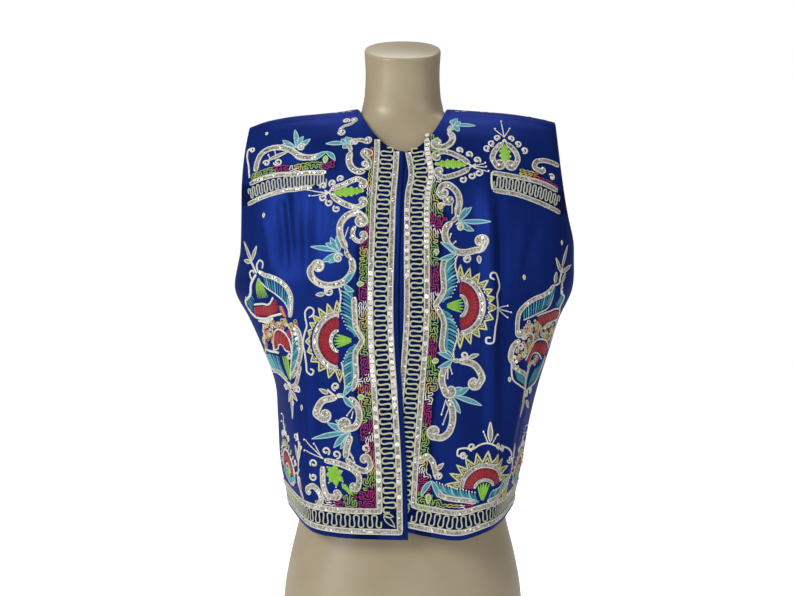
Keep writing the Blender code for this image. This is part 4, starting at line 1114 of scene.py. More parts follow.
vermicelli = {
    "cell": 6.0, "cord": 1.35, "wobble": 0.6, "inset": 41.2,
    # down from which each colour is used, beside the inner band
    "runs": {
        -1: ((0, "orange"), (134, "sprig"), (160, "yellow"), (176, "white"), (190, "sprig"), (231, "magenta"),
            (258, "yellow"), (274, "sprig"), (306, "magenta"), (329, "white"), (344, "yellow"), (370, "sprig"),
            (401, "magenta"), (429, "white"), (437, "orange"), (450, "yellow"), (466, "sprig"), (488, "magenta"),
            (508, "white"), (518, "magenta"), (530, "orange"), (545, "yellow"), (558, "sprig"), (575, "magenta")),
        1: ((0, "sprig"), (134, "magenta"), (158, "white"), (167, "sprig"), (190, "yellow"), (200, "sprig"),
            (211, "magenta"), (230, "white"), (238, "yellow"), (251, "sprig"), (281, "magenta"), (318, "white"),
            (332, "yellow"), (354, "sprig"), (382, "magenta"), (405, "sprig"), (433, "yellow"), (450, "white"),
            (464, "magenta"), (494, "sprig"), (535, "yellow"), (549, "white"), (559, "magenta"), (581, "sprig")),
    },
    # how far out that column reaches: down, out
    "column": {
        -1: ((112, 44), (118, 46), (150, 47), (180, 50), (200, 52), (240, 53), (258, 60), (272, 60), (300, 58),
            (330, 60), (365, 57), (378, 50), (395, 57), (430, 58), (450, 62), (480, 54), (497, 58), (512, 54),
            (530, 50), (545, 44), (560, 50), (575, 56), (603, 60)),
        1: ((88, 42), (100, 49), (122, 48), (134, 41), (155, 42), (162, 53), (172, 44), (188, 50), (205, 52),
            (217, 60), (226, 52), (245, 50), (275, 48), (290, 50), (315, 50), (330, 41), (342, 49), (375, 47),
            (395, 45), (425, 46), (445, 44), (456, 40), (480, 39), (505, 34), (525, 36), (545, 34), (565, 37),
            (578, 34), (606, 34)),
    },
    # the strip above the hem band and the patch above the chest band: out, upper limit, lower limit
    "foot": {
        -1: ((40, 570, 603), (58, 573, 603), (70, 582, 603), (88, 592, 603), (107, 594, 603), (122, 599, 603)),
        1: ((34, 580, 602), (46, 590, 602), (61, 597, 603), (83, 602, 606), (104, 605, 606), (113, 603, 606),
            (130, 600, 605), (146, 595, 603), (160, 587, 602), (172, 581, 602)),
    },
    "chest": {
        -1: ((92, 133, 141), (104, 128, 143), (118, 129, 141), (140, 126, 141), (165, 131, 142), (185, 131, 143),
            (216, 139, 148)),
        1: ((160, 143, 150), (170, 139, 152), (190, 145, 154), (206, 152, 157), (224, 160, 164)),
    },
    # out from which each colour is used in those
    "footRuns": {
        -1: ((0, "magenta"), (62, "sprig"), (80, "magenta"), (94, "white"), (105, "yellow"), (116, "sprig")),
        1: ((0, "sprig"), (60, "yellow"), (79, "white"), (87, "magenta"), (108, "sprig"), (130, "orange"),
            (150, "yellow")),
    },
    "chestRuns": {
        -1: ((0, "magenta"), (112, "sprig"), (137, "yellow"), (150, "white"), (160, "magenta"), (180, "sprig")),
        1: ((0, "sprig"), (166, "yellow"), (184, "orange"), (196, "magenta")),
    },
}


def runColour(runs, at):
    # The colour of the run that each place falls in, with a little unevenness.
    table = np.array([colours[name] for start, name in runs])
    starts = np.array([start for start, name in runs])
    rows = table[np.clip(np.searchsorted(starts, at) - 1, 0, len(runs) - 1)]
    return rows * (0.80 + 0.30 * random.random(len(at)))[:, None]


def addVermicelli(side, runs, start, stop, reach, spot):
    # One cord that never crosses itself, over a strip from start to stop of the depth that reach gives. It
    # keeps to the outline of a random tree which joins every cell to its neighbours. Each cell has four
    # places, and the cord turns there towards the middle of the cell or, where the tree has a branch,
    # towards the next cell. spot turns depth and place along the strip into places on the front.
    pitch, warp = vermicelli["cell"], vermicelli["wobble"]
    along = np.arange(start + pitch / 2, stop, pitch)
    deep = np.round(reach(along) / pitch + 0.05).astype(int)
    cells = [(column, row) for row, count in enumerate(deep) for column in range(count)]
    number = {cell: k for k, cell in enumerate(cells)}
    pairs = [(k, number[column + dx, row + dy], dx, dy) for (column, row), k in number.items()
             for dx, dy in ((1, 0), (0, 1)) if (column + dx, row + dy) in number]
    root = list(range(len(number)))
    branch = {way: np.zeros(len(number), dtype=bool) for way in ((1, 0), (-1, 0), (0, 1), (0, -1))}
    for pair in random.permutation(len(pairs)):
        first, second, dx, dy = pairs[pair]
        if root[first] != root[second]:
            old, new = root[first], root[second]
            root = [new if each == old else each for each in root]
            branch[dx, dy][first] = branch[-dx, -dy][second] = True
    cells = np.array(cells)
    centre = np.column_stack(((cells[:, 0] + 0.5) * pitch, along[cells[:, 1]]))
    shade = runColour(runs, centre[:, 1] + 4 * np.sin(0.35 * centre[:, 0]))
    t = np.linspace(0, 1, 5)[None, :, None]
    for sx in (-1, 1):
        for sy in (-1, 1):
            corner = centre + np.array((sx, sy)) * pitch / 4
            first = corner + np.where(branch[0, sy][:, None], (0, sy), (-sx, 0)) * pitch / 4
            last = corner + np.where(branch[sx, 0][:, None], (sx, 0), (0, -sy)) * pitch / 4
            lines = (1 - t) ** 2 * first[:, None] + 2 * t * (1 - t) * corner[:, None] + t * t * last[:, None]
            u, v = lines[..., 0], lines[..., 1]
            u, v = u + warp * np.sin(0.9 * v + 0.3 * u), v + warp * np.sin(0.8 * u - 0.3 * v)
            addStrips(batches[side]["cord"], side, np.stack(spot(u, v), axis=-1), vermicelli["cord"] / 2,
                      cordShape, shade, 1.1)


for side in (-1, 1):
    column = np.array(vermicelli["column"][side])

    def bandEdge(down):
        return frontEdgeOut(side, np.ravel(down)).reshape(np.shape(down)) + vermicelli["inset"]

    def columnOut(down):
        return np.interp(down, column[:, 0], column[:, 1])

    hemLine = hemDownOut(side, 60.0) - border["upper"] - 4.5
    addVermicelli(side, vermicelli["runs"][side], column[0, 0], hemLine, lambda v: columnOut(v) - bandEdge(v),
                  lambda u, v: (bandEdge(v) + u, v))
    for part in ("foot", "chest"):
        table = np.array(vermicelli[part][side])
        start = columnOut(table[0, 2]) if part == "foot" else table[0, 0]

        def limit(which, out):
            return np.interp(out, table[:, 0], table[:, which])

        addVermicelli(side, vermicelli[part + "Runs"][side], start, table[-1, 0], lambda v: limit(2, v) - limit(1, v),
                      lambda u, v: (v, limit(2, v) - u))
print("vermicelli made")

# Suns, sprays, drops and side flowers


def sampleLine(line, count):
    # Places spread evenly along a line, the first and the last half a step in from its ends.
    length = lineLength(line)
    return alongLine(line, length, (np.arange(count) + 0.5) / count * length[-1])


def strokesBetween(side, start, end, count, names, width, reach=(0.0, 1.0), bend=0.0, height=0.9):
    # Laid strokes from one line to another, each fine at its ends and bowed sideways by a sine.
    start, end = sampleLine(start, count), sampleLine(end, count)
    first = start + (end - start) * reach[0]
    last = start + (end - start) * reach[1]
    t = np.linspace(0, 1, len(strokeShape))
    aside = unit(np.column_stack(((last - first)[:, 1], -(last - first)[:, 0])))
    lines = first[:, None] + (last - first)[:, None] * t[None, :, None] \
        + aside[:, None] * (bend * np.sin(math.pi * t))[None, :, None]
    shade = np.array([colours[names[k % len(names)]] for k in range(count)])
    shade = shade * (0.85 + 0.3 * random.random(count))[:, None]
    addStrips(batches[side]["fill"], side, lines, width / 2 * strokeShape, cordShape, shade, height)
    return last


def addTealLeaf(side, base, tip, kind, share, hand):
    # A pale-edged teal leaf, at a share of its width.
    width, bend, fullest, lift = sewing[kind]
    addLeaf(side, base, tip, share * width, colours["teal"], colours["iceEdge"], hand * bend, fullest, lift)


def addSpray(side, centre, tips):
    # A fan of teal leaves, fuller towards their tips; the first is narrower.
    for k, tip in enumerate(tips):
        addTealLeaf(side, centre, tip, "sprayLeaf", 1 if k else 0.8, 1 if k % 2 else -1)


def addLimeLeaf(side, base, tip, width, lobes):
    # A lime leaf with a scalloped edge: its half width is a sine swelled by lobes, with a bead in each.
    base, tip = np.array(base, dtype=float), np.array(tip, dtype=float)
    t = np.linspace(0, 1, 8 * lobes)
    half = width / 2 * (0.12 + np.sin(math.pi * t ** 0.85)) * (0.72 + 0.42 * np.abs(np.sin(lobes * math.pi * t)))
    line = base + (tip - base) * t[:, None]
    addFill(side, line, np.maximum(half * np.minimum(1, 12 * np.minimum(t, 1 - t)), 0.05), colours["lime"], 0.9)
    aside = np.array((-(tip - base)[1], (tip - base)[0])) / np.linalg.norm(tip - base)
    share = (np.arange(lobes) + 0.5) / lobes
    reach = width / 2 * np.sin(math.pi * share ** 0.85) * 1.06
    spots = base + (tip - base) * share[:, None]
    addBeads(side, np.concatenate((spots + aside * reach[:, None], spots - aside * reach[:, None])), 0.95)


def addStems(side, rows):
    # Fine couched stems from a root to a tip, each with a bead on its end.
    for root, tip in rows:
        addCord(side, np.linspace(root, tip, 6), 1.5)
    addBeads(side, [tip for root, tip in rows], sewing["beadRadius"])


def addRays(side, centre, radius, tips):
    # Pointed rays round a sun: each is a bent yellow cord from its foot to its tip and back, another within
    # it, and a bead at its foot. Neighbours share the foot between them.
    tips = np.array(tips, dtype=float)
    away = tips - centre
    angle = np.unwrap(np.arctan2(away[:, 1], away[:, 0]))
    between = np.concatenate(([1.5 * angle[0] - 0.5 * angle[1]], (angle[1:] + angle[:-1]) / 2,
                              [1.5 * angle[-1] - 0.5 * angle[-2]]))
    feet = np.column_stack((centre[0] + radius * np.cos(between), centre[1] + radius * np.sin(between)))
    for k, tip in enumerate(tips):
        middle = (feet[k] + feet[k + 1]) / 2
        for size, width, name in ((1.0, 2.2, "ray"), (0.46, 1.8, "rayInner")):
            corners = middle + (np.array((feet[k], tip, feet[k + 1])) - middle) * size
            line = np.concatenate((np.linspace(corners[0], corners[1], 6), np.linspace(corners[1], corners[2], 6)[1:]))
            addCord(side, line, width, colours[name])
    addBeads(side, (feet[1:] + feet[:-1]) / 2, 1.15)


sun = {
    "sequins": 0.55, "arcGap": 0.6, "heartGap": 0.4,
    "reds": (34, 3.4), "notches": ((14, 1.6, 0.30), (9, 1.4, 0.24)), "fan": (5, 3.4),    # how many, width, reach
    "fanTurn": 22,          # degrees that the fan in the heart keeps clear at each end
}


def addSun(side, node, centre, arc, heart, turn, widths, apex, tips):
    # A half sun: its silver arcs, the red between them, the lime fan in its heart, and the rays.
    word = "Hem" if node[0] != "sun_" else ""
    for radii, width, kind in ((arc, widths[0], "Arc"), (heart, widths[1], "Heart")):
        made = addRibbon("sun" + word + kind + sideNames[side], side, ringLine(centre, radii, turn), width,
                         sun["sequins"])
        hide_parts(node[0] + kind.lower() + node[1])
    edge = [radius - widths[0] / 2 - sun["arcGap"] for radius in arc]
    root = [radius + widths[1] / 2 + sun["heartGap"] for radius in heart]
    span = (turn[0] + 2, turn[1] - 2)
    rootLine, edgeLine = ringLine(centre, root, span), ringLine(centre, edge, span)
    count, width = sun["reds"]
    strokesBetween(side, rootLine, edgeLine, count, ("red", "redDeep"), width, height=0.8)
    for (count, width, reach), first, last in zip(sun["notches"], (edgeLine, rootLine), (rootLine, edgeLine)):
        strokesBetween(side, first, last, count, ("notch",), width, (0.0, reach), height=1.3)
    addCord(side, ringLine(centre, np.add(edge, 0.4), span), 1.2)
    fan = ringLine(centre, np.subtract(heart, 2.2), (turn[0] + sun["fanTurn"], turn[1] - sun["fanTurn"]))
    foot = np.repeat([apex], 2, axis=0) + ((0, -0.4), (0, 0.4))
    strokesBetween(side, foot, fan, sun["fan"][0], ("lime",), sun["fan"][1], (0.1, 0.95))
    addRays(side, centre, arc[0] * 0.5 + arc[1] * 0.5 + widths[0] / 2 + 1.0, tips)


addSun(-1, ("sun_", "_right"), (85, 381), (32, 37), (11, 14), (-88, 88), (7.0, 5.0), (66, 380),
       ((88, 327), (101, 331), (113, 337), (121, 347), (125, 357), (127, 368), (130, 382), (127, 396), (122, 409),
        (112, 422), (99, 431), (84, 436)))
addSun(1, ("sun_", "_left"), (75, 334), (32, 37), (10, 14), (-88, 88), (7.0, 5.0), (56, 334),
       ((77, 279), (90, 283), (103, 290), (113, 300), (118, 312), (121, 323), (125, 337), (119, 352), (111, 366),
        (102, 376), (90, 385), (76, 391)))
addSun(1, ("hem_sun_", "_left"), (108, 580), (31, 31), (13, 11), (-178, -8), (6.0, 4.5), (106, 599),
       ((57, 571), (62, 557), (71, 546), (83, 538), (98, 532), (113, 530), (129, 536), (143, 545), (154, 556),
        (163, 570)))

stems = {
    -1: (((87, 304), (83, 319), (84, 333), (86, 345), (86, 350)),
        ((82, 409), (81, 412), (79, 423), (77, 440), (78, 454))),
    1: (((76, 262), (71, 271), (70, 282), (73, 293), (75, 303)),
        ((73, 364), (74, 372), (70, 384), (67, 394), (68, 406))),
}
feathers = {
    -1: ((((67, 312), (66, 346), (64, 364), (62, 376)), ((83, 300), (83, 320), (84, 340), (74, 366)), 13),
        (((62, 384), (65, 396), (66, 408), (66, 440)), ((74, 394), (81, 412), (79, 432), (76, 452)), 13)),
    1: ((((57, 280), (57, 300), (55, 318), (51, 330)), ((71, 262), (70, 280), (74, 298), (64, 324)), 12),
        (((51, 338), (56, 352), (57, 374), (57, 394)), ((64, 346), (73, 366), (71, 384), (66, 404)), 12),
        (((101, 600), (84, 592), (66, 588), (50, 578)), ((97, 584), (80, 579), (60, 573), (42, 566)), 14),
        (((113, 599), (130, 595), (146, 589), (160, 580)), ((120, 584), (136, 582), (152, 576), (166, 569)), 11)),
}
for side in (-1, 1):
    for places in stems[side]:
        addCord(side, smoothLine(places), 2.2)
    for frameLine, tipLine, count in feathers[side]:
        frameLine, tipLine = smoothLine(frameLine), smoothLine(tipLine)
        ends = strokesBetween(side, frameLine, tipLine, count, ("teal", "tealDeep", "ice"), 2.9, (0.12, 0.93), 1.2)
        addBeads(side, ends, 1.15)
        nearest = tipLine[np.linspace(0, len(tipLine) - 1, len(frameLine)).astype(int)]
        addFill(side, frameLine + (nearest - frameLine) * 0.10, 1.9, colours["teal"], shape=cordShape)

sprays = {
    -1: (((77, 104), ((106, 101), (84, 95), (78, 92), (70, 95), (64, 99), (82, 111))),
        ((148, 104), ((151, 68), (138, 84), (128, 90), (168, 87), (171, 96))),
        ((85, 261), ((125, 253), (109, 274), (104, 249), (97, 241), (89, 239), (99, 276))),
        ((70, 502), ((121, 514), (101, 491), (90, 487), (83, 525), (92, 524), (79, 522)))),
    1: (((70, 71), ((101, 69), (67, 60), (76, 55), (80, 62), (77, 83), (66, 83))),
        ((74, 220), ((117, 221), (85, 200), (93, 199), (96, 232), (88, 232))),
        ((64, 453), ((105, 468), (88, 443), (79, 443), (76, 477), (69, 477)))),
}
# A point, two tips, and the lime bud beside it
chevrons = {
    -1: (((78, 306), (64, 289), (65, 315), (61, 305), (52, 305)),
        ((79, 454), (66, 440), (64, 470), (60, 455), (51, 455)),
        ((105, 115), (92, 131), (120, 128), (105, 122), (106, 134))),
    1: (((71, 264), (50, 249), (48, 272), (48, 262), (41, 261)),
        ((66, 406), (46, 396), (46, 416), (47, 406), (38, 408)),
        ((38, 566), (24, 586), (46, 588), (34, 583), (33, 596))),
}
loops = {
    -1: (((105, 318), (117, 319)), ((100, 452), (112, 446)), ((189, 119), (157, 108)), ((150, 118), (128, 126))),
    1: (((102, 266), (103, 277)), ((88, 403), (101, 399)), ((44, 552), (54, 543)), ((115, 517), (115, 490))),
}
beadStems = {
    -1: (((73, 228), (79, 245)), ((66, 233), (70, 243)), ((102, 178), (138, 170)), ((102, 178), (127, 181)),
        ((186, 121), (188, 111)), ((177, 117), (179, 105)), ((67, 470), (74, 480)), ((66, 474), (68, 483)),
        ((76, 520), (66, 536)), ((72, 528), (64, 542)), ((106, 540), (132, 516)), ((106, 540), (133, 531)),
        ((108, 540), (118, 520))),
    1: (((66, 210), (66, 190)), ((70, 212), (71, 203)), ((62, 245), (64, 238)), ((64, 254), (70, 248)),
        ((95, 140), (112, 135)), ((95, 140), (113, 141)), ((95, 142), (116, 148)), ((141, 88), (138, 56)),
        ((141, 88), (128, 74)), ((141, 88), (149, 71)), ((62, 413), (65, 424)), ((60, 416), (59, 430)),
        ((57, 458), (51, 478)), ((62, 466), (53, 491)), ((126, 337), (142, 334)), ((126, 337), (146, 343)),
        ((126, 337), (142, 350)), ((113, 520), (107, 503)), ((117, 520), (124, 508))),
}
for side in (-1, 1):
    for centre, tips in sprays[side]:
        addSpray(side, centre, tips)
    for point, first, second, bud, budTip in chevrons[side]:
        for tip in (first, second):
            addTealLeaf(side, point, tip, "chevronLeaf", 1, 1 if tip is first else -1)
        addLeaf(side, bud, budTip, 6.4, colours["lime"], lift=1.2)
    for base, tip in loops[side]:
        addLeaf(side, base, tip, 5.0, colours["braidFill"])
    addStems(side, beadStems[side])

limeLeaves = {
    -1: (((96, 179), (50, 178), 12.0, 6), ((82, 571), (66, 586), 6.0, 2)),
    1: (((88, 138), (41, 138), 12.0, 6), ((141, 101), (141, 141), 14.0, 5)),
}
for side, rows in limeLeaves.items():
    for base, tip, width, lobes in rows:
        addLimeLeaf(side, base, tip, width, lobes)
petals = ((90, 545), (100, 550), (103, 561), (98, 571), (88, 576), (79, 568), (80, 554))
for tip in petals:
    addLeaf(-1, (91, 560), tip, 8.0, colours["lime"], None, 0, 1.2)
addBeads(-1, np.add(petals, 0.6), 1.2)
print("suns and sprays made")

brackets = {
    -1: (((126, 350), (120, 345), (120, 339), (126, 336), (131, 341), (131, 352), (129, 361), (132, 372), (134, 385),
            (131, 399), (129, 412), (127, 424), (121, 427), (119, 421), (123, 419)),),
    1: (((121, 299), (116, 296), (117, 291), (123, 290), (128, 298), (130, 309), (126, 319), (127, 334), (126, 350),
            (123, 361), (121, 373), (118, 384), (111, 384), (111, 377), (116, 377)),
        ((80, 533), (73, 534), (73, 526), (82, 524), (92, 526), (102, 521), (112, 519), (124, 524), (134, 529),
            (146, 529), (156, 535), (160, 543), (155, 548))),
}
for side, rows in brackets.items():
    for places in rows:
        addCord(side, smoothLine(places, 1.0), 2.5)

# Dots sewn on the plain satin
dots = {
    -1: ((193, 66), (195, 205), (160, 470)),
    1: ((233, 243), (165, 295), (146, 435), (182, 11)),
    0: ((-150, 200), (-120, 330), (140, 230), (165, 350), (20, 260), (-20, 420), (70, 480), (-90, 120), (90, 120)),
}
for side, rows in dots.items():
    for x, y in rows:
        addLeaf(side, (x, y - 3.4), (x + 0.5, y + 3.4), 3.6, colours["yellow"])
# Short pale stitches on the shoulders
stitches = {
    -1: ((72, 30), (80, 26), (92, 21)),
    1: ((74, 33), (84, 29), (110, 20), (122, 18), (200, 10)),
}
for side, rows in stitches.items():
    for x, y in rows:
        addCord(side, np.linspace((x, y), (x + 6, y - 1.5), 4), 1.2)

# The chest band: a cord swinging between its two braids, and the closed inner end of one of them
chestBand = {
    -1: ((104, 157), (150, 157), (190, 162), (224, 168)),
    1: ((124, 162), (157, 166), (192, 173), (227, 182)),
    "wave": (8.2, 8.6, 0.95, 0.8), "cordWidth": 2.3,       # reach, pitch, bulge and step
}
for side in (-1, 1):
    addCord(side, serpentine(smoothLine(chestBand[side]), *chestBand["wave"]), chestBand["cordWidth"],
            colours["chestCord"])
addCord(1, smoothLine(((121, 149), (120, 162), (121, 175))), 3.0)

# Side flowers, which lie over the side seams and end on the back. Pale cords: width, places
sideLines = {
    -1: ((3.2, ((222, 270), (216, 278), (209, 288))),
        (2.6, ((207, 286), (210, 276), (206, 269), (200, 272), (200, 281))),
        (2.6, ((217, 297), (222, 291), (223, 285), (216, 284), (214, 288))),
        (4.0, ((210, 289), (220, 304), (225, 318), (246, 331), (241, 342), (226, 351))),
        (2.2, ((206, 297), (195, 306), (175, 318), (161, 330), (153, 347))),
        (3.0, ((222, 333), (205, 333), (186, 331), (179, 322))),
        (3.4, ((227, 351), (205, 354), (190, 350), (176, 347), (166, 345))),
        (3.6, ((218, 356), (205, 359), (192, 355), (182, 351))),
        (2.6, ((200, 399), (199, 386), (190, 375), (173, 367), (160, 375), (154, 390), (153, 400))),
        (2.2, ((199, 398), (188, 396), (180, 389), (170, 389), (164, 396), (156, 398))),
        (3.4, ((232, 397), (205, 400), (184, 402))), (2.4, ((213, 361), (217, 381), (233, 397))),
        (3.0, ((257, 429), (256, 416), (247, 403), (232, 397))),
        (2.2, ((160, 357), (152, 372), (152, 396), (157, 420), (160, 436))),
        (3.2, ((256, 424), (215, 429), (187, 433), (169, 441), (161, 447))),
        (2.2, ((152, 510), (150, 526), (151, 545), (154, 562))),
        (2.4, ((150, 560), (158, 570), (160, 584), (150, 594)))),
    1: ((2.6, ((232, 299), (226, 303), (216, 306))), (3.0, ((235, 279), (232, 288), (228, 300))),
        (3.2, ((235, 301), (236, 315), (251, 322), (249, 337), (262, 347))),
        (2.2, ((217, 318), (211, 336), (188, 346), (165, 354))),
        (2.6, ((189, 349), (210, 344), (230, 339), (252, 339))),
        (2.6, ((209, 369), (218, 361), (234, 357), (258, 354))), (2.4, ((262, 347), (262, 380), (250, 398))),
        (2.6, ((172, 410), (186, 392), (204, 383), (224, 384), (250, 397))),
        (2.2, ((180, 421), (193, 404), (206, 402), (222, 411))),
        (3.0, ((163, 380), (176, 372), (190, 380), (176, 396))),
        (3.2, ((246, 408), (240, 427), (226, 441), (199, 452), (186, 456))),
        (2.4, ((148, 412), (152, 436), (164, 444), (180, 451))),
        (2.2, ((186, 532), (180, 548), (182, 566), (178, 580)))),
}
# from one line to another: places of both, how many strokes, colours, width
sideStrokes = {
    -1: ((((199, 291), (180, 296), (165, 304), (155, 317), (153, 330)), ((190, 309), (172, 321), (162, 331),
            (156, 340), (153, 348)), 13, ("teal", "ice", "teal"), 1.6),
        (((206, 294), (205, 294)), ((215, 326), (186, 323)), 7, ("lime", "sprig"), 1.9),
        (((224, 336), (205, 335), (188, 334), (174, 324)), ((226, 348), (205, 351), (188, 348), (172, 344)), 18,
            ("red", "redDeep"), 3.8),
        (((224, 310), (240, 328)), ((219, 326), (230, 344)), 5, ("teal", "tealDeep"), 1.8),
        (((196, 378), (185, 371), (173, 369), (162, 374), (156, 384)), ((198, 397), (188, 395), (176, 388),
            (166, 394), (156, 398)), 14, ("red", "redDeep"), 4.2),
        (((143, 364), (138, 380), (139, 400), (147, 418)), ((155, 378), (153, 395), (156, 414), (159, 434)), 16,
            ("teal", "tealDeep", "teal", "ice"), 1.8),
        (((250, 408), (218, 403), (200, 404), (184, 406)), ((238, 425), (200, 430), (182, 434), (167, 441)), 11,
            ("teal", "ice"), 1.7), (((174, 404), (160, 403)), ((162, 438), (160, 438)), 5, ("lime", "olive"), 3.0),
        (((172, 334), (165, 334)), ((164, 350), (158, 350)), 4, ("magenta", "orange", "lime"), 3.0),
        (((160, 368), (154, 366)), ((158, 380), (153, 378)), 3, ("magenta",), 3.0)),
    1: ((((222, 307), (198, 318), (175, 327), (163, 340)), ((212, 332), (192, 343), (176, 350), (164, 354)), 13,
            ("teal", "ice", "teal"), 1.7),
        (((238, 316), (250, 323)), ((225, 334), (246, 338)), 4, ("teal", "ice"), 1.8),
        (((191, 350), (210, 346), (230, 341), (250, 341)), ((208, 366), (216, 360), (232, 355), (256, 352)), 16,
            ("red", "redDeep"), 4.0),
        (((174, 405), (188, 393), (205, 386), (225, 386), (248, 396)), ((179, 419), (192, 405), (200, 401),
            (214, 404), (236, 408)), 17, ("red", "redDeep"), 4.2),
        (((152, 418), (154, 428), (158, 436)), ((176, 430), (178, 438), (180, 447)), 8, ("teal", "tealDeep"), 2.2),
        (((236, 412), (222, 420), (208, 424)), ((228, 438), (212, 444), (196, 450)), 9, ("teal", "tealDeep"), 2.3),
        (((194, 418), (188, 416)), ((186, 454), (183, 454)), 4, ("lime", "olive"), 2.8)),
}
sideLoops = {
    -1: (((222, 270), (243, 239)), ((222, 270), (211, 248)), ((222, 271), (244, 267)), ((163, 452), (172, 444)),
        ((157, 452), (147, 447)), ((163, 452), (173, 469)), ((163, 452), (151, 466)), ((163, 454), (163, 492)),
        ((156, 590), (146, 602)), ((140, 470), (141, 478)), ((152, 550), (147, 522)), ((152, 550), (160, 528))),
    1: (((234, 278), (250, 246)), ((231, 286), (220, 266)), ((233, 286), (266, 274)), ((218, 302), (221, 286)),
        ((235, 301), (244, 286)), ((183, 456), (178, 470)), ((183, 466), (176, 490)), ((190, 468), (222, 482)),
        ((182, 552), (176, 528)), ((182, 552), (188, 534))),
}
sideCurls = {
    -1: ((158, 516, 5.0, 90, 1.2, 1), (155, 574, 5.0, 0, 1.2, 1), (164, 552, 4.6, 180, 1.2, -1),
        (158, 402, 4.6, 0, 1.3, 1)),
    1: ((206, 457, 4.8, 180, 1.4, 1), (167, 374, 5.6, 0, 1.4, 1), (160, 390, 5.0, 90, 1.3, -1),
        (168, 400, 4.6, 0, 1.3, 1)),
}
sideStems = {
    -1: (((152, 540), (142, 528)), ((176, 570), (186, 590))),
    1: (((182, 560), (170, 546)), ((180, 566), (166, 562))),
}
# rows of sequins painted bright as glints: from, to, how many
sideSequins = {
    -1: (((218, 356), (186, 353), 7), ((203, 287), (180, 295), 5), ((236, 322), (243, 334), 3),
        ((147, 366), (142, 392), 5)),
    1: (((234, 303), (236, 314), 3), ((206, 316), (176, 328), 5), ((152, 404), (160, 424), 4),
        ((214, 366), (246, 356), 5)),
}
diamonds = {
    -1: (((176, 562), (176, 576)), ((154, 578), (153, 594))),
    1: (((172, 572), (172, 586)),),
}
# Patches of small coloured rings: centre, radii, how many
filigree = {
    -1: ((205, 373, 11, 15, 44), (222, 388, 8, 9, 14), (149, 363, 7, 10, 16), (166, 359, 10, 7, 20),
        (186, 361, 14, 5, 20)),
    1: ((182, 366, 16, 12, 54), (230, 372, 22, 12, 60), (178, 388, 13, 10, 34), (160, 402, 9, 9, 20),
        (205, 412, 7, 7, 12), (200, 372, 8, 10, 20)),
}


def addFiligree(side, x, y, across, down, count):
    # Small rings of coloured cord scattered evenly at random over an ellipse.
    angle, share = 2 * math.pi * random.random(count), np.sqrt(random.random(count))
    spots = np.column_stack((x + across * share * np.cos(angle), y + down * share * np.sin(angle)))
    turn = np.linspace(0, 2 * math.pi, 9)
    size = 1.5 + 1.0 * random.random(count)
    lines = spots[:, None] + size[:, None, None] * np.stack((np.cos(turn), np.sin(turn)), axis=-1)
    names = ("yellow", "magenta", "olive", "pale", "orange", "sprig", "pale")
    shade = np.array([colours[names[k % len(names)]] for k in range(count)])
    addStrips(batches[side]["cord"], side, lines, 0.65, cordShape, shade, 1.0)


for side in (-1, 1):
    for start, end, count, names, width in sideStrokes[side]:
        strokesBetween(side, smoothLine(start), smoothLine(end), count, names, width, (0.02, 0.98), 0.6)
    for row in filigree[side]:
        addFiligree(side, *row)
    for width, places in sideLines[side]:
        addCord(side, smoothLine(places), width)
    for base, tip in sideLoops[side]:
        addLeaf(side, base, tip, 5.4, colours["braidFill"])
    for row in sideCurls[side]:
        addCurl(side, *row)
    addStems(side, sideStems[side])
    for start, end, count in sideSequins[side]:
        addSequins(side, np.linspace(start, end, count), *sewing["sideSequins"])
    for base, tip in diamonds[side]:
        addLeaf(side, base, tip, 6.5, colours["magenta"])


sideSun = {
    "turn": (-178, -2), "rayTurn": (-176, -4),
    # shares of the radii: red, silver rims and their widths, rays, crown
    "red": (0.44, 0.82), "rims": ((0.36, 3.4), (0.95, 4.6)), "rays": (1.12, 1.42), "crown": 1.62,
    "crownLine": ((-24, 8), (-12, 1), (0, 0), (12, 1), (24, 8)),
    "curls": ((-24, 1), (-11, -1), (11, 1), (24, -1)),      # place across and hand
    "stems": ((1, -30), (-9, -16), (10, -18)),
}


def addSideSun(side, centre, radii):
    # A half sun over a side seam: rings that are shares of its radii, red between two of them, a lime fan
    # within, rays without, feathers below, and a crown of curls with three stems above.
    centre, radii = np.array(centre, dtype=float), np.array(radii, dtype=float)

    def ring(share, turn=sideSun["turn"]):
        return ringLine(centre, radii * share, turn)

    inner, outer = sideSun["red"]
    strokesBetween(side, ring(inner), ring(outer), 26, ("red", "redDeep"), 4.2, (0.04, 0.96))
    for share, width in sideSun["rims"]:
        addFill(side, ring(share), width / 2, colours["silver"], 1.2)
        addCord(side, ring(share), 1.3, lift=0.9)
    root = np.repeat([centre + (0, 12)], 2, axis=0)
    strokesBetween(side, root, ring(sideSun["rims"][0][0]) + (0, 3), 6, ("lime",), 3.0, (0.15, 0.9))
    foot, tip = sideSun["rays"]
    strokesBetween(side, ring(foot), ring(tip, sideSun["rayTurn"]), 13, ("ray",), 4.0, (0.0, 0.9))
    addBeads(side, sampleLine(ring(foot), 13), 1.2)
    base = smoothLine((centre + (-radii[0], 4), centre + (0, 17), centre + (radii[0], 4)))
    strokesBetween(side, base, base + (0, -9), 18, ("teal", "ice", "tealDeep"), 3.6, (0, 0.9), 1.0)
    addFill(side, base + (0, 1.5), 2.0, colours["silver"], 1.2)
    crown = centre - (0, radii[1] * sideSun["crown"])
    addCord(side, smoothLine(crown + sideSun["crownLine"]), sewing["curlCord"])
    for x, hand in sideSun["curls"]:
        addCurl(side, *(crown + (x, abs(x) * 0.3 - 5)), 4.6, 90, 1.2, hand)
    addStems(side, [(crown, crown + tip) for tip in sideSun["stems"]])


addSideSun(-1, (217, 576), (46, 34))
addSideSun(1, (243, 581), (42, 25))
print("side flowers made")

# The batches become one object for each kind of sewing on each panel

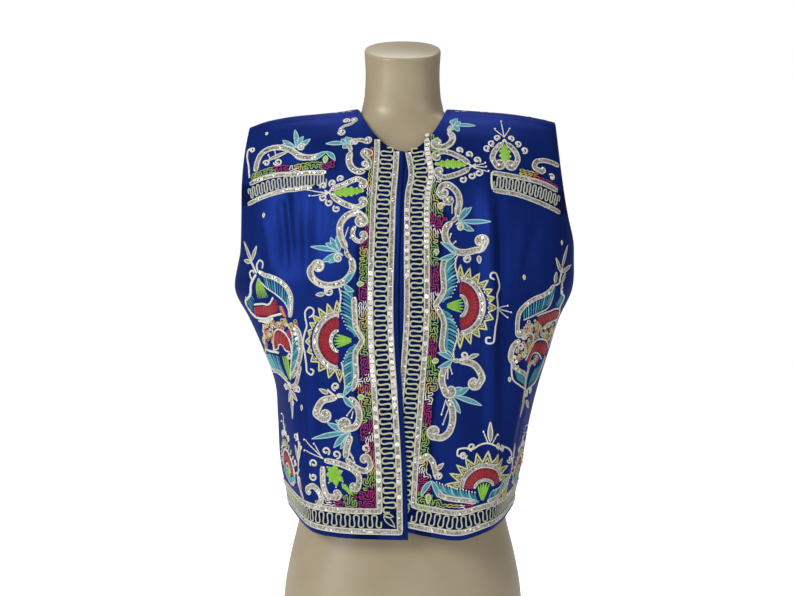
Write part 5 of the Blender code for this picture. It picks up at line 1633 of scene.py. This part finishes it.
for side, kinds in batches.items():
    for kind, name, material in (("cord", "laidCords", thread), ("fill", "laidLeaves", stitch),
                                 ("bead", "beads", beadFinish), ("sequin", "sequins", sequinFinish)):
        if kinds[kind]["points"]:
            finishBatch(kinds[kind], name + sideNames[side], material, side)
print("sewing finished")


def paintedCordShade(side, across, down):
    # How bright the satin is under the sewing, with painted shade: darker where cords lie close, which is between the
    # border bands, in the vermicelli and in the chest bands, fading over a few mm.
    if side == 0:
        rise = backHem - down
        return 1 - cloth["pressed"]["back"] * smoothstep(3, 8, rise) * (1 - smoothstep(40, 46, rise))
    out = side * across
    inset = out - frontEdgeOut(side, down.ravel()).reshape(down.shape)
    rise = hemDownOut(side, out.ravel()).reshape(down.shape) - down
    nearest = np.minimum(inset, rise)
    column = np.array(vermicelli["column"][side])
    past = out - np.interp(down, column[:, 0], column[:, 1]) - 1
    dark = smoothstep(3, 8, nearest) * (1 - smoothstep(40, 44, nearest))
    dark = np.maximum(dark, smoothstep(38, 42, inset) * (1 - smoothstep(0, 5, past)) * smoothstep(80, 120, down))
    for part in ("foot", "chest"):
        table = np.array(vermicelli[part][side])
        above = smoothstep(-2, 2, down - np.interp(out, table[:, 0], table[:, 1]))
        below = 1 - smoothstep(0, 3, down - np.interp(out, table[:, 0], table[:, 2]))
        ends = smoothstep(-3, 2, out - table[0, 0]) * (1 - smoothstep(-2, 3, out - table[-1, 0]))
        dark = np.maximum(dark, above * below * ends)
    upper, lower = (np.array(scrolls[side][row][2], dtype=float) for row in (0, 1))
    band = smoothstep(-3, 1, down - np.interp(out, upper[:, 0], upper[:, 1])) \
        * (1 - smoothstep(-1, 3, down - np.interp(out, lower[:, 0], lower[:, 1]))) \
        * smoothstep(-4, 2, out - upper[0, 0])
    return 1 - cloth["pressed"]["front"] * np.maximum(dark, band)


# Each cloth panel carries that painted shade as its thread colour, which the satin multiplies into its own.
for side, (made, flat, area) in sheets.items():
    across, down = cuts[side]
    if side == 0:
        across, down = across[:, ::-1], down[:, ::-1]      # as addCloth turns the back round
    shade = np.ones(across.shape + (4,))
    shade[..., :3] = paintedCordShade(side, across / mm, down / mm)[..., None]
    attribute = made.data.color_attributes.new(name="thread", type="FLOAT_COLOR", domain="POINT")
    attribute.data.foreach_set("color", shade.reshape(-1).astype(np.float32))

# Floor, light and camera


def addArea(name, spot, aim, size, power):
    light = bpy.data.lights.new(name, "AREA")
    light.shape = "RECTANGLE"
    light.size, light.size_y = size
    light.energy = power
    made = bpy.data.objects.new(name, light)
    made.location = spot
    made.rotation_euler = (Vector(aim) - Vector(spot)).to_track_quat("-Z", "Y").to_euler()
    collection.objects.link(made)


studio = {
    "floorHalf": 6.0, "floorDrop": 0.0005, "floorGlow": 0.74, "paper": 1.0, "surround": 0.30,
    # where each light stands, where it points, its size and its power
    "lights": {
        "key": ((-1.5, -1.7, 1.5), (0, 0, 0.5), (0.9, 0.9), 46.0),
        "fill": ((1.6, -1.8, 1.0), (0, 0, 0.45), (1.2, 1.4), 11.0),
        "low": ((-1.6, -1.5, 0.25), (-0.12, 0, 0.3), (0.5, 0.5), 7.0),
        "top": ((0.15, 0.4, 2.4), (0, 0, 0.7), (1.6, 1.0), 23.0),
    },
    # level, with 0.9 mm of a plane one metre away in each pixel
    "camera": (-0.008, -1.6, 0.489), "lens": 50.4, "sensor": 36,
}


def rayGlow(tree, unseen, seen):
    # One strength for the light that falls on things and another for what the camera sees itself.
    return ramp(tree, addNode(tree, "ShaderNodeLightPath").outputs["Is Camera Ray"], unseen, seen)


floorMaterial, floorTree, floorShader = newMaterial("floorPaper", colours["floor"], 0.75)
grain = addNode(floorTree, "ShaderNodeTexNoise", {"Scale": 60.0, "Detail": 3.0})
addBump(floorTree, floorShader, grain.outputs[0], 0.03, 0.001)
floorShader.inputs["Emission Color"].default_value = (1, 1, 1, 1)
glow = rayGlow(floorTree, studio["floorGlow"] * 0.2, studio["floorGlow"])
feed(floorTree, floorShader, "Emission Strength", glow)
floorMesh = bpy.data.meshes.new("floor")
floorMesh.from_pydata([(x * studio["floorHalf"], y * studio["floorHalf"], -studio["floorDrop"])
                       for x, y in ((-1, -1), (1, -1), (1, 1), (-1, 1))], [], [(0, 1, 2, 3)])
floorMesh.materials.append(floorMaterial)
floor = bpy.data.objects.new("floor", floorMesh)
collection.objects.link(floor)

world = bpy.data.worlds.new("studio")
world.use_nodes = True
backdrop = world.node_tree.nodes["Background"]
bright = rayGlow(world.node_tree, studio["surround"], studio["paper"])
feed(world.node_tree, backdrop, "Strength", bright)
backdrop.inputs["Color"].default_value = (1, 1, 1, 1)
bpy.context.scene.world = world
for name, settings in studio["lights"].items():
    addArea(name + "Light", *settings)
bpy.context.scene.view_settings.view_transform = "Standard"

camera = bpy.data.cameras.new("camera")
camera.lens = studio["lens"]
camera.sensor_width = studio["sensor"]
viewer = bpy.data.objects.new("camera", camera)
viewer.location = studio["camera"]
viewer.rotation_euler = (math.pi / 2, 0, 0)
collection.objects.link(viewer)
bpy.context.scene.camera = viewer

print("scene finished")
